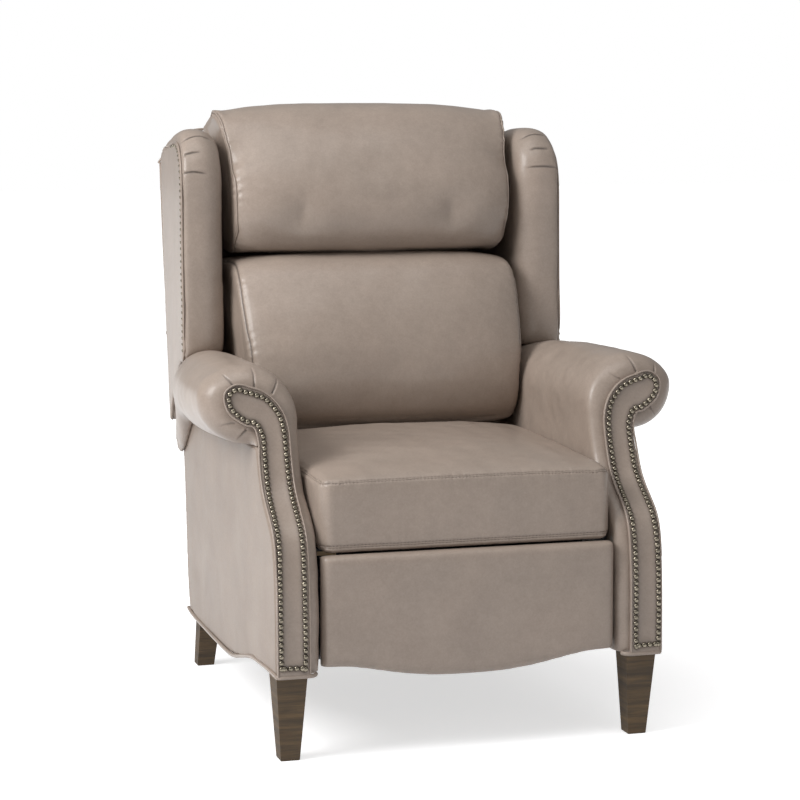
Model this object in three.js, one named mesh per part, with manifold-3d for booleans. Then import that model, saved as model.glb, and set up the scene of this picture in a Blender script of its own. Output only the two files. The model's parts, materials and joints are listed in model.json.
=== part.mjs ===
// A push-back wingback recliner: a fixed base with scroll arms, a seat unit that slides forward, a back unit
// with wings that reclines, and a footrest on two pairs of scissor links. Millimetres, +Z up, the sitter
// faces -Y and the sitter's left is +X. Depths are measured backwards from the front of the arms; the last
// lines centre the chair.

import * as THREE from 'three';
import Module from 'manifold-3d';
import { mergeVertices } from 'three/addons/utils/BufferGeometryUtils.js';

const wasm = await Module();
wasm.setup();

// Overall sizes
const overall_height = 1099;
const overall_depth = 956;
const rear_lean = 181;
const touch_gap = 0.3;
const cut_overrun = 40;
const curve_steps = 20;
const cap_bend_share = 1e-5;

// Base and legs
const leg_height = 150;
const leg_foot_width = 33;
const leg_top_width = 54;
const front_leg_middle_x = 312;
const front_leg_setback = 48;
const leg_foot_drift = 6;
const rear_leg_top_width = 44;
const rear_leg_top_x = 294;
const rear_leg_kick = 41;
const base_rail_thickness = 34;
const base_rail_bottom = 170;
const base_rail_top = 212;
const stretcher_setback = 324;
const stretcher_thickness = 25;
const stretcher_height = 78;
const rear_rail_thickness = 25;
const rear_rail_bottom = 132;
const rear_rail_top = 232;
const skin_panel_thickness = 12;
const rear_panel_bottom = 108;
const rear_panel_top = 238;
const rear_corner_x = 329;

// Arms
const arm_inner_x = 264;
const arm_pad_thickness = 36;
const arm_frame_thickness = 18;
const arm_outer_front_x = 341;
const arm_outer_rear_x = 330;
const arm_bottom = leg_height + touch_gap;
const arm_height = 655;
const arm_frame_drop = 137;
const arm_setback = 154;
const arm_frame_top = arm_height - arm_frame_drop;
const arm_column_depth = 99;
const arm_hem_reach = 308;
const arm_pad_underside = 330;
const facing_thickness = 12;
const facing_inner_x = 285;

// Sections of the roll of an arm, which the padding passes through from front to back
const roll_at_front = {
  inner_x: 286, start_drop: 110, middle_x: 348, top_drop: 34, outer_x: 391,
  widest_drop: 56, under_x: 343, under_drop: 107,
};
const roll_at_full = {
  inner_x: 264, start_drop: 85, middle_x: 352, top_drop: 0, outer_x: 432,
  widest_drop: 59, under_x: 343, under_drop: 136,
};
const roll_at_middle = {
  inner_x: 264, start_drop: 87, middle_x: 346, top_drop: 2, outer_x: 423,
  widest_drop: 66, under_x: 342, under_drop: 147,
};
const roll_at_wing = {
  inner_x: 264, start_drop: 92, middle_x: 334, top_drop: 12, outer_x: 400,
  widest_drop: 80, under_x: 340, under_drop: 145,
};
const roll_at_tail = {
  inner_x: 264, start_drop: 107, middle_x: 321, top_drop: 37, outer_x: 377,
  widest_drop: 110, under_x: 338, under_drop: 154,
};
const roll_at_rear = {
  inner_x: 264, start_drop: 175, middle_x: 304, top_drop: 110, outer_x: 345,
  widest_drop: 195, under_x: 335, under_drop: 230,
};
const scroll_head = {
  inner_x: 285, start_drop: 115, middle_x: 350, top_drop: 30, outer_x: 394,
  widest_drop: 54, under_x: 341, under_drop: 107,
};
const roll_front_round = 46;
const border_round = 20;
const roll_middle_setback = 400;
const roll_wing_reach = 391;
const roll_tail_reach = 276;
const roll_rear_reach = 156;
const roll_quarter_steps = 5;

// Seat unit
const steel_plate = 4;
const slide_plate_front = 200;
const slide_plate_bottom = 176;
const slide_margin = 20;
const seat_plate_top = 353;
const seat_plate_underside = 300;
const seat_plate_front = 64;
const seat_rear_reach = 316;
const seat_plate_rear = overall_depth - seat_rear_reach;
const plate_shoulder = 32;
const seat_flange_inner_x = 205;
const seat_rail_bearing = 13;
const seat_rail_height = 22;
const seat_cross_rail_depth = 22;
const spring_count = 4;
const spring_wire = 4;
const spring_stroke = 6;
const spring_pitch = 90;
const spring_swing = 17;
const spring_waves = 9;
const deck_pad_thickness = 2.4;
const cushion_half_width = 262;
const cushion_front = 25;
const cushion_bottom = 356;
const cushion_crown = 503;
const cushion_corner = 16;
const cushion_ease = 3;
const waist_lead_share = 0.14;
const waist_lag = 30;
const cushion_points_each = 1.5;

// Back unit
const back_pivot_reach = 222;
const back_pivot_height = 385;
const back_top_drop = 54;
const back_cap_height = 45;
const back_bottom = 262;
const shoulder_drop = 169;
const back_shoulder = arm_height - shoulder_drop;
const back_top = overall_height - back_top_drop;
const back_low_half_width = 261;
const back_high_half_width = 345;
const post_outer_x = 252.1;
const post_width = 26;
const post_depth = 45;
const post_bottom = 266;
const post_end_gap = 2;
const back_flare_rise = 21;
const back_shoulder_drop = 60;
const bracket_lap = 15;
const back_rail_depth = 25;
const back_rail_height = 45;
const back_rail_half_width = 289.7;
const back_cap_bottom = back_top - back_cap_height;
const liner_thickness = 8;
const liner_bottom = 500;
const liner_half_width = 262;
const bottom_rail_middle = 289;
const webbing_half_width = 250;
const webbing_height = 50;
const webbing_thickness = 2;
const middle_rail_share = 0.657;
const webbing_heights_shares = [0.56, 0.79];
const bracket_height = 150;

// Back cushions
const pillow_reach = 385;
const pillow_rear_reach = 94;
const pillow_share = 0.263;
const pillow_half_width = 283;
const dimple_x = 150;
const dimple_share = 0.1847;
const dimple_radius = 34;
const dimple_depth = 9;
const lumbar_reach = 471;
const lumbar_rear_reach = 136;
const lumbar_bottom = 486;
const lumbar_tuck_share = 0.024;
const pillow_bottom = overall_height * (1 - pillow_share);
const lumbar_top = pillow_bottom + overall_height * pillow_share * lumbar_tuck_share;
const lumbar_half_width = 274;

// Wings
const wing_depth = 357;
const wing_top_drop = 49;
const wing_inner_x = 290;
const wing_front_x = 374;
const wing_front = overall_depth - wing_depth;
const wing_top = overall_height - wing_top_drop;
const wing_bottom_share = 0.7359;
const wing_low_share = 0.3;
const wing_low_top_share = 0.996;
const wing_panel_thickness = 10;
const wing_panel_inset = 11;
const wing_edge_round = 30;

// Footrest and its scissor links
const footrest_half_width = 260;
const footrest_front = 12;
const footrest_top = 348;
const footrest_side_bottom = 159;
const footrest_middle_bottom = 132;
const footrest_pad_depth = 29;
const footrest_corner = 12;
const board_thickness = 17;
const board_half_width = 252;
const board_margin = 8;
const link_length = 155;
const link_width = 20;
const link_thickness = 5;
const fold_angle = THREE.MathUtils.degToRad(78);
const open_angle = THREE.MathUtils.degToRad(20);
const scissor_tilt = THREE.MathUtils.degToRad(6);
const footrest_pin_setback = 82;
const footrest_pin_height = 325;
const pin_radius = 5;
const pin_clearance = 0.5;
const pin_sides = 16;
const pin_head = 2;
const torque_tube_radius = 8;
const bracket_flange = 22;
const bracket_drop = 108;

// Outlines as shares. The rear line has heights as shares of the overall height, and how far it lies in
// front of the rearmost point as shares of the lean.
const rear_line_shares = [
  [0.095, 0.9983], [0.189, 0.8662], [0.331, 0.7289], [0.384, 0.6681], [0.473, 0.5519],
  [0.56, 0.4041], [0.649, 0.2694], [0.755, 0.1426], [0.89, 0.0317], [0.951, 0],
];
// Front line of an arm: shares of the arm's height and of its setback at the top.
const arm_front_shares = [
  [0.2, 0], [0.4, 0.01], [0.5, 0.045], [0.56, 0.1], [0.6, 0.2], [0.635, 0.38], [0.66, 0.52], [0.69, 0.65],
  [0.73, 0.75], [0.79, 0.85], [0.86, 0.92], [0.94, 0.97], [1.04, 1],
];
// Rear top of an arm, where the wing passes: shares of the arm's height and of the wing's depth, from the
// rear.
const arm_rear_top_shares = [
  [0.66, 0.3695], [0.705, 0.3803], [0.741, 0.4151], [0.782, 0.4659], [0.834, 0.5436],
  [0.904, 0.6829], [0.957, 0.8409], [0.98, 1.0069], [0.992, 1.1515], [1.006, 1.2773],
];
// Lower edge of the outer arm panel: shares of the overall depth and of the leg's height.
const arm_hem_shares = [
  [0.09, 1.002], [0.145, 0.985], [0.2, 0.965], [0.245, 0.92], [0.3, 0.845], [0.36, 0.765], [0.43, 0.727],
  [0.6, 0.727], [0.75, 0.74], [0.81, 0.77],
];
// Front of an arm's roll: shares of its rounding's depth, and how full the roll is there.
const roll_front_shares = [[0, 0], [0.09, 0.42], [0.3, 0.71], [0.6, 0.92], [1, 1]];
// Wing seen from the side: shares of its depth and height, then how far its edge is rounded.
const wing_side_shares = [
  [0, 0.3, 1], [-0.003, 0.5, 1], [0, 0.68, 1], [0.004, 0.81, 1], [0.022, 0.895, 1], [0.066, 0.952, 1],
  [0.15, 0.99, 1], [0.27, 1, 1], [0.45, 0.992, 1], [0.66, 0.965, 1], [0.86, 0.93, 0.7], [0.966, 0.875, 0],
  [0.91, 0.64, 0], [0.84, 0.42, 0], [0.76, 0.2, 0], [0.7, 0.06, 0], [0.65, 0.0, 0], [0.6, 0.03, 0],
  [0.48, 0.13, 0], [0.34, 0.21, 0], [0.17, 0.277, 0.2],
];
const wing_heart_shares = [0.5, 0.6];
const wing_panel_least_share = 0.3;
const wing_stations_shares = [[0, 0.75], [0.06, 0.3], [0.2, 0.05], [0.6, 0], [0.9, 0.12], [1, 0.42]];
// Cushions seen from the side, counter-clockwise from the lower front: shares of their depth and height.
const pillow_middle_shares = [
  [0.148, 0.04], [0.045, 0.121], [0.003, 0.277], [0.02, 0.415],
  [0.096, 0.623], [0.216, 0.813], [0.371, 0.952],
  [0.543, 1], [0.715, 0.985], [0.93, 0.93], [1, 0.8], [0.985, 0.6], [0.95, 0.35],
  [0.88, 0.14], [0.7, 0.035], [0.35, 0.035],
];
const pillow_end_shares = [
  [0.24, 0.06], [0.175, 0.14], [0.12, 0.25], [0.113, 0.39], [0.145, 0.51],
  [0.22, 0.6], [0.29, 0.78], [0.4, 0.9],
  [0.56, 0.938], [0.8, 0.93], [0.93, 0.87], [0.965, 0.7], [0.94, 0.45],
  [0.87, 0.2], [0.72, 0.04], [0.42, 0.01],
];
const pillow_width_shares = [[0, 0.925], [0.14, 0.944], [0.375, 0.958], [0.7, 0.966], [0.88, 0.98], [1, 1]];
const lumbar_middle_shares = [
  [0.2, 0], [0.127, 0.055], [0.046, 0.133], [0.003, 0.284], [0.012, 0.465], [0.07, 0.647], [0.15, 0.8],
  [0.245, 0.93], [0.36, 0.99], [0.5, 1], [0.9, 0.98], [0.985, 0.8],
  [0.93, 0.5], [0.86, 0.25], [0.8, 0.04], [0.6, 0],
];
const lumbar_end_shares = [
  [0.22, 0.04], [0.14, 0.08], [0.085, 0.16], [0.06, 0.3], [0.081, 0.438], [0.141, 0.59], [0.205, 0.73],
  [0.271, 0.86], [0.37, 0.94], [0.6, 0.957], [0.9, 0.93], [0.955, 0.77],
  [0.9, 0.5], [0.83, 0.27], [0.77, 0.08], [0.6, 0.04],
];
const lumbar_width_shares = [[0, 0.953], [0.32, 0.953], [0.45, 0.975], [0.6, 0.99], [0.75, 1], [1, 1]];
const seat_middle_shares = [
  [0.02, 0], [0.006, 0.06], [0, 0.38], [0.004, 0.7], [0.014, 0.81], [0.06, 0.88], [0.14, 0.94], [0.3, 0.985],
  [0.52, 1], [0.7, 1], [0.8, 0.985], [0.85, 0.87], [0.92, 0.78], [0.99, 0.72], [1, 0.5], [1, 0.2], [0.985, 0],
  [0.6, 0], [0.3, 0],
];
const seat_end_shares = [
  [0.024, 0.02], [0.01, 0.07], [0.005, 0.38], [0.008, 0.68], [0.016, 0.785],
  [0.06, 0.815], [0.14, 0.835], [0.3, 0.86],
  [0.52, 0.885], [0.7, 0.9], [0.8, 0.895], [0.86, 0.83], [0.93, 0.75], [0.98, 0.69], [0.99, 0.5], [0.99, 0.2],
  [0.975, 0.02], [0.6, 0.01], [0.3, 0.01],
];
const seat_width_shares = [[0, 1], [1, 1]];
// Across a cushion: place from its middle, crown and how far its edge is drawn in.
const plump_stations_shares = [
  [1, 0, 1], [0.985, 0.02, 0.25], [0.95, 0.2, 0], [0.86, 0.5, 0],
  [0.72, 0.77, 0], [0.62, 0.88, 0], [0.53, 0.94, 0],
  [0.44, 0.97, 0], [0.25, 1, 0], [0, 1, 0],
];
const seat_stations_shares = [
  [1, 0, 1], [0.985, 0.03, 0.3], [0.94, 0.2, 0], [0.8, 0.55, 0], [0.55, 0.88, 0], [0.28, 1, 0], [0, 1, 0],
];
// Lower edge of the footrest, from its side to its middle: shares of the half width and of the drop.
const footrest_hem_shares = [
  [1, 0], [0.88, 0.03], [0.76, 0.15], [0.62, 0.4], [0.47, 0.68], [0.3, 0.89], [0.15, 0.98], [0, 1],
];
// Rounded rim of the footrest's pad: shares of its depth and of its corner.
const footrest_rim_shares = [[0, 0.8], [0.08, 0.35], [0.24, 0.08], [0.45, 0], [1, 0]];

// Materials
const paint = (color, roughness, metalness = 0) =>
  new THREE.MeshStandardMaterial({ color, roughness, metalness });
const leather = () => paint(0x9d8f84, 0.5);
const timber = () => paint(0x5a5045, 0.6);
const raw_wood = () => paint(0xc9a878, 0.8);
const steel = () => paint(0x54565a, 0.4, 0.9);
const fibre = () => paint(0x2b2b2d, 0.95);

// Solids
function toSolid(geometry) {
  const bare = geometry.index ? geometry.clone() : geometry;
  bare.deleteAttribute('normal');
  bare.deleteAttribute('uv');
  const merged = mergeVertices(bare);
  return new wasm.Manifold(new wasm.Mesh({
    numProp: 3,
    vertProperties: Float32Array.from(merged.attributes.position.array),
    triVerts: Uint32Array.from(merged.index.array),
  }));
}

function toGeometry(solid) {
  const mesh = solid.getMesh();
  const geometry = new THREE.BufferGeometry();
  geometry.setAttribute('position', new THREE.BufferAttribute(Float32Array.from(mesh.vertProperties), 3));
  geometry.setIndex(Array.from(mesh.triVerts));
  return geometry;
}

// Joins rings of corners into a closed solid; flat gives the two coordinates in which the end caps are
// filled in.
// The caps are filled in with their edges bent very slightly, so that no corner on a straight edge is
// skipped.
function loft(rings, flat) {
  const count = rings[0].length;
  const corners = rings.flat();
  const faces = [];
  for (let r = 0; r < rings.length - 1; r += 1) {
    for (let i = 0; i < count; i += 1) {
      const a = r * count + i;
      const b = r * count + ((i + 1) % count);
      faces.push([a, b, b + count], [a, b + count, a + count]);
    }
  }
  const reach = Math.max(...corners.flat().map(Math.abs));
  const bent = (corner) => {
    const [u, v] = flat(corner).map((value) => value / reach);
    return new THREE.Vector2(u + cap_bend_share * v * v, v + cap_bend_share * u * u);
  };
  const cap = (ring) => THREE.ShapeUtils.triangulateShape(ring.map(bent), []);
  const clockwise = THREE.ShapeUtils.isClockWise(rings[0].map(bent));
  const turned = (face, flip) => (flip ? [face[0], face[2], face[1]] : face);
  const last = (rings.length - 1) * count;
  cap(rings[0]).forEach((face) => faces.push(turned(face, !clockwise)));
  cap(rings.at(-1)).forEach((face) => faces.push(turned(face.map((i) => i + last), clockwise)));
  const at = (i) => new THREE.Vector3(...corners[i]);
  const volume = faces.reduce((sum, [a, b, c]) => sum + at(a).dot(at(b).cross(at(c))), 0);
  const geometry = new THREE.BufferGeometry();
  geometry.setAttribute('position', new THREE.Float32BufferAttribute(corners.flat(), 3));
  geometry.setIndex(faces.map((face) => turned(face, volume < 0)).flat());
  return toSolid(geometry);
}

// A prism along X from an outline in setback and height, and one along the depth from an outline in width
// and height.
const prismX = (points, low_x, high_x) =>
  loft([low_x, high_x].map((x) => points.map(([y, z]) => [x, y, z])), ([, y, z]) => [y, z]);
const prismY = (points, front, rear) =>
  loft([front, rear].map((y) => points.map(([x, z]) => [x, y, z])), ([x, , z]) => [x, z]);

function block(low_x, high_x, front, rear, low_z, high_z) {
  const geometry = new THREE.BoxGeometry(high_x - low_x, rear - front, high_z - low_z);
  return toSolid(geometry.translate((low_x + high_x) / 2, (front + rear) / 2, (low_z + high_z) / 2));
}

// A round bar along X, turned so that one flat faces up.
function rod(setback, height, low_x, high_x, radius, sides = pin_sides) {
  const geometry = new THREE.CylinderGeometry(radius, radius, high_x - low_x, sides);
  geometry.rotateZ(Math.PI / 2);
  return toSolid(geometry.translate((low_x + high_x) / 2, setback, height));
}

const pinHole = ([y, z]) => rod(y, z, 0, overall_depth, pin_radius + pin_clearance);

// Moves every corner of a solid by a rule.
function moved(solid, rule) {
  const geometry = toGeometry(solid);
  const place = geometry.attributes.position;
  for (let i = 0; i < place.count; i += 1) {
    place.setXYZ(i, ...rule(place.getX(i), place.getY(i), place.getZ(i)));
  }
  return toSolid(geometry);
}

const mix = (a, b, share) => a + (b - a) * share;

// A smooth line through points that are given as shares, first of the height and then of a depth from a
// start.
function smoothLine(shares, height, depth, start = 0) {
  const corners = shares.map(([up, along]) => new THREE.Vector2(up * height, start + along * depth));
  const curve = new THREE.SplineCurve(corners);
  return curve.getPoints(curve_steps).map((p) => [p.y, p.x]);
}

// Value of a list of [place, value] points, in rising places, at a place.
function shareAt(points, place) {
  const next = points.findIndex(([at]) => at >= place);
  if (next < 1) return next < 0 ? points.at(-1)[1] : points[0][1];
  const [[low, low_value], [high, high_value]] = [points[next - 1], points[next]];
  return mix(low_value, high_value, (place - low) / (high - low));
}

// Setback of a line of [setback, height] points at a height.
const setbackAt = (line, height) => shareAt(line.map(([y, z]) => [z, y]), height);

const rear_line = smoothLine(rear_line_shares, overall_height, -rear_lean, overall_depth);
const arm_front_line = smoothLine(arm_front_shares, arm_height, arm_setback);

// Two lines of like height limits closed into a band; the first is kept, the second shifted and reversed.
const shifted = (line, by) => line.map(([y, z]) => [y + by, z]);
const band = (line, front, rear) => [...shifted(line, front), ...shifted(line, rear).reverse()];
const rearBand = (depth, cover, low_x, high_x) =>
  prismX(band(rear_line, -cover - depth, -cover), low_x, high_x);

// The scene
const chair = new THREE.Group();

function add(name, material, solid) {
  const mesh = new THREE.Mesh(toGeometry(solid), material);
  mesh.name = name;
  chair.add(mesh);
}

// Adds a piece that lies at +X as the left one, and its mirror image as the right one.
function addPair(name, material, solid) {
  add(`${name}_left`, material, solid);
  add(`${name}_right`, material, solid.mirror([1, 0, 0]));
}

// A square post that tapers between two ends: [middle x, middle setback, height, half width].
function taperedPost(ends) {
  const rings = ends.map(([x, y, z, half]) => [
    [x - half, y - half, z], [x + half, y - half, z], [x + half, y + half, z], [x - half, y + half, z],
  ]);
  return loft(rings, ([x, y]) => [x, y]);
}

function legs() {
  const foot = leg_foot_width / 2;
  const front_y = front_leg_setback + leg_foot_drift;
  addPair('leg_front', timber(), taperedPost([
    [front_leg_middle_x, front_y, 0, foot],
    [front_leg_middle_x, front_leg_setback, leg_height, leg_top_width / 2],
  ]));
  const top_y = setbackAt(rear_line, leg_height) - skin_panel_thickness - rear_leg_top_width / 2;
  const rear_x = rear_leg_top_x + leg_foot_drift;
  addPair('leg_rear', timber(), taperedPost([
    [rear_x, top_y + rear_leg_kick, 0, foot],
    [rear_leg_top_x, top_y, leg_height, rear_leg_top_width / 2],
  ]));
}

// The arms' side outline: front line, hem, rear line and the swept top under the wing.
function armSide(front_offset, rear_offset, hem, top) {
  const front = shifted(arm_front_line, front_offset).filter(([, z]) => z > hem.at(0)[1] && z < top);
  const sweep = smoothLine(arm_rear_top_shares, arm_height, -wing_depth, overall_depth);
  const rear = shifted(rear_line, -rear_offset).filter(([, z]) => z > hem.at(-1)[1] && z < sweep[0][1]);
  const over = sweep.filter(([, z]) => z < top);
  const front_top = [setbackAt(arm_front_line, top) + front_offset, top];
  const front_low = [setbackAt(arm_front_line, hem[0][1]) + front_offset, hem[0][1]];
  const rear_low = [setbackAt(rear_line, hem.at(-1)[1]) - rear_offset, hem.at(-1)[1]];
  const rear_top = [over.at(-1)[0] - touch_gap, top];
  const rear_side = [...hem.slice(1, -1), rear_low, ...rear, ...over, rear_top];
  return [front_low, ...rear_side, front_top, ...front.reverse()];
}

// One section of the padding over an arm, in width and height.
function rollOutline(roll) {
  const frame_x = arm_inner_x + arm_pad_thickness - touch_gap;
  const top = arm_frame_top + touch_gap;
  const [start_z, top_z] = [arm_height - roll.start_drop, arm_height - roll.top_drop];
  const [widest_z, under_z] = [arm_height - roll.widest_drop, arm_height - roll.under_drop];
  const halfway = (arm_bottom + start_z) / 2;
  const points = [[frame_x, arm_bottom], [roll.inner_x, arm_bottom], [roll.inner_x, halfway]];
  const quarter = (middle_x, middle_z, radius_x, radius_z, start) => {
    for (let i = 0; i <= roll_quarter_steps; i += 1) {
      const turn = start - (Math.PI / 2) * (i / roll_quarter_steps);
      points.push([middle_x + radius_x * Math.cos(turn), middle_z + radius_z * Math.sin(turn)]);
    }
  };
  quarter(roll.middle_x, start_z, roll.middle_x - roll.inner_x, top_z - start_z, Math.PI);
  points.pop();
  quarter(roll.middle_x, widest_z, roll.outer_x - roll.middle_x, top_z - widest_z, Math.PI / 2);
  points.pop();
  quarter(roll.under_x, widest_z, roll.outer_x - roll.under_x, widest_z - under_z, 0);
  return { points, frame_x, top, under_z };
}

function mixedRoll(a, b, share) {
  return Object.fromEntries(Object.keys(a).map((key) => [key, mix(a[key], b[key], share)]));
}

const arm_outer_x = (y) => mix(arm_outer_front_x, arm_outer_rear_x, y / overall_depth);

function armPadding() {
  const border = border_round / roll_front_round;
  const from_facing = (z) => setbackAt(arm_front_line, z) + facing_thickness + touch_gap;
  const front_stations = roll_front_shares.map(([deep, full]) => ({
    place: (z) => from_facing(z) + deep * roll_front_round,
    cover_x: arm_outer_front_x,
    roll: {
      ...mixedRoll(roll_at_front, roll_at_full, full),
      inner_x: mix(roll_at_front.inner_x, arm_inner_x, Math.min(1, full / Math.sqrt(border))),
    },
  }));
  const further_stations = [
    [roll_middle_setback, roll_at_middle], [overall_depth - roll_wing_reach, roll_at_wing],
    [overall_depth - roll_tail_reach, roll_at_tail], [overall_depth - roll_rear_reach, roll_at_rear],
    [overall_depth, roll_at_rear],
  ].map(([at, roll]) => ({ place: () => at, cover_x: arm_outer_x(at), roll }));
  const rings = [...front_stations, ...further_stations].map(({ place, cover_x, roll }) => {
    const { points, frame_x, top, under_z } = rollOutline(roll);
    const side_x = cover_x + touch_gap;
    const closed = [...points, [side_x, Math.min(under_z, top - touch_gap)], [side_x, top], [frame_x, top]];
    return closed.map(([x, z]) => [x, place(z), z]);
  });
  const pad = loft(rings, ([x, , z]) => [x, z]);
  const frame_x = arm_inner_x + arm_pad_thickness;
  const side = armSide(
    facing_thickness + touch_gap, skin_panel_thickness + touch_gap,
    [[0, arm_bottom], [0, arm_bottom]], arm_height + touch_gap,
  );
  const shaped = pad.intersect(prismX(side, frame_x - cut_overrun * 2, roll_at_full.outer_x + cut_overrun));
  const room = block(
    arm_inner_x - cut_overrun, frame_x + cut_overrun, arm_column_depth, overall_depth + cut_overrun,
    arm_bottom - cut_overrun, arm_pad_underside,
  );
  return shaped.subtract(room);
}

function arms() {
  const frame_low_x = arm_inner_x + arm_pad_thickness;
  const frame_high_x = frame_low_x + arm_frame_thickness;
  const front_offset = facing_thickness + touch_gap;
  const rear_offset = skin_panel_thickness + touch_gap;
  const hem_rear = overall_depth - arm_hem_reach;
  const frame_hem = [
    [0, arm_bottom], [front_leg_setback + leg_top_width / 2, arm_bottom],
    [arm_column_depth, base_rail_bottom],
    [hem_rear, base_rail_bottom], [hem_rear + leg_top_width, arm_bottom], [0, arm_bottom],
  ];
  addPair('arm_frame', raw_wood(), prismX(
    armSide(front_offset, rear_offset, frame_hem, arm_frame_top), frame_low_x, frame_high_x));
  const hem = arm_hem_shares.map(([back, up]) => [back * overall_depth, up * leg_height]);
  hem.unshift([0, arm_bottom]);
  const cover = prismX(
    armSide(front_offset, rear_offset, hem, arm_frame_top), frame_high_x + touch_gap, arm_outer_front_x);
  const edge = frame_high_x + touch_gap * 2;
  addPair('arm_outer_panel', leather(), moved(cover, (x, y, z) => [x > edge ? arm_outer_x(y) : x, y, z]));
  addPair('arm_padding', leather(), armPadding());

  const head = rollOutline(scroll_head).points.slice(1);
  head.push([arm_outer_front_x, arm_frame_top], [arm_outer_front_x, arm_bottom]);
  const facing = prismY(head, -cut_overrun, arm_setback + cut_overrun * 2);
  const slab = prismX(
    band(arm_front_line, 0, facing_thickness), facing_inner_x - cut_overrun, roll_at_full.outer_x);
  addPair('arm_facing', leather(), facing.intersect(slab));
}

function base() {
  const rail_low_x = arm_inner_x + arm_pad_thickness - base_rail_thickness;
  const rail_high_x = rail_low_x + base_rail_thickness - touch_gap;
  const rail_rear = setbackAt(rear_line, base_rail_bottom) - skin_panel_thickness - rear_rail_thickness;
  const rail = [
    [arm_column_depth + touch_gap, base_rail_bottom], [rail_rear - rear_leg_top_width * 2, base_rail_bottom],
    [rail_rear - rear_leg_top_width / 2, arm_bottom], [rail_rear + rear_rail_thickness / 2, arm_bottom],
    [rail_rear + rear_rail_thickness / 2, base_rail_top], [arm_column_depth + touch_gap, base_rail_top],
  ];
  addPair('base_rail', raw_wood(), prismX(rail, rail_low_x, rail_high_x));
  const slide_high_x = rail_low_x - touch_gap;
  const slide_low_x = slide_high_x - steel_plate;
  addPair('slide_plate', steel(), block(
    slide_low_x, slide_high_x, slide_plate_front, seat_plate_rear - slide_margin, slide_plate_bottom,
    arm_pad_underside - touch_gap));
  add('front_stretcher', raw_wood(), block(
    -slide_low_x + touch_gap, slide_low_x - touch_gap,
    stretcher_setback, stretcher_setback + stretcher_thickness,
    base_rail_bottom, base_rail_bottom + stretcher_height));
  const rear_rail = rearBand(rear_rail_thickness, skin_panel_thickness + touch_gap, -rail_low_x + touch_gap,
    rail_low_x - touch_gap);
  add('rear_rail', raw_wood(), rear_rail.intersect(block(
    -overall_depth, overall_depth, 0, overall_depth, rear_rail_bottom, rear_rail_top)));
  const arm_rear_top = arm_rear_top_shares[0][1] * arm_height;
  const notch_x = arm_inner_x + arm_pad_thickness + arm_frame_thickness + touch_gap;
  const rear_half = [
    [arm_inner_x, rear_panel_bottom], [arm_inner_x, arm_bottom],
    [notch_x, arm_bottom], [notch_x, rear_panel_bottom],
    [rear_corner_x, rear_panel_bottom], [rear_corner_x, arm_rear_top], [arm_inner_x, arm_rear_top],
    [arm_inner_x, rear_panel_top],
  ];
  const rear_outline = [...rear_half, ...rear_half.slice().reverse().map(([x, z]) => [-x, z])];
  add('rear_base_panel', leather(), rearBand(skin_panel_thickness, 0, -rear_corner_x, rear_corner_x)
    .intersect(prismY(rear_outline, 0, overall_depth * 2)));
  return slide_low_x;
}

// Places of the scissor's pins, in setback and height.
function scissorPins() {
  const forward = [-Math.cos(scissor_tilt), Math.sin(scissor_tilt)];
  const down = [-Math.sin(scissor_tilt), -Math.cos(scissor_tilt)];
  const across = link_length * Math.cos(fold_angle);
  const tall = link_length * Math.sin(fold_angle);
  const from = ([a, b], ahead, below) => [
    a + forward[0] * ahead + down[0] * below, b + forward[1] * ahead + down[1] * below,
  ];
  const footrest = [footrest_pin_setback, footrest_pin_height];
  const ground = from(footrest, -2 * across, 0);
  const slot_radius = pin_radius + pin_clearance;
  const slot_bottom = tall + slot_radius;
  const slot_top = link_length * Math.sin(open_angle) - slot_radius;
  return {
    ground,
    footrest,
    slider: from(ground, 0, tall),
    slot: [[1, slot_bottom], [-1, slot_bottom], [-1, slot_top], [1, slot_top]].map(
      ([side, below]) => from(ground, side * slot_radius, below)),
    rear_cross: from(ground, across / 2, tall / 2),
    top: from(ground, across, 0),
    low: from(ground, across, tall),
    front_cross: from(ground, across * 1.5, tall / 2),
    front_low: from(ground, across * 2, tall),
  };
}

// A flat bar with round ends between two pins, with holes and with pins of its own.
function bar(from, to, low_x, width, thickness, holes, pins) {
  const lean = Math.atan2(to[1] - from[1], to[0] - from[0]);
  const sides = pin_sides / 2;
  const end = ([a, b], start) => Array.from({ length: sides + 1 }, (_, i) => {
    const turn = lean + start + (Math.PI * i) / sides;
    return [a + (width / 2) * Math.cos(turn), b + (width / 2) * Math.sin(turn)];
  });
  const shape = [...end(to, -Math.PI / 2), ...end(from, Math.PI / 2)];
  const blank = prismX(shape, low_x, low_x + thickness);
  const bored = holes.reduce((solid, at) => solid.subtract(pinHole(at)), blank);
  return pins.reduce((solid, [at, a, b]) => solid.add(rod(at[0], at[1], a, b, pin_radius)), bored);
}

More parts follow.
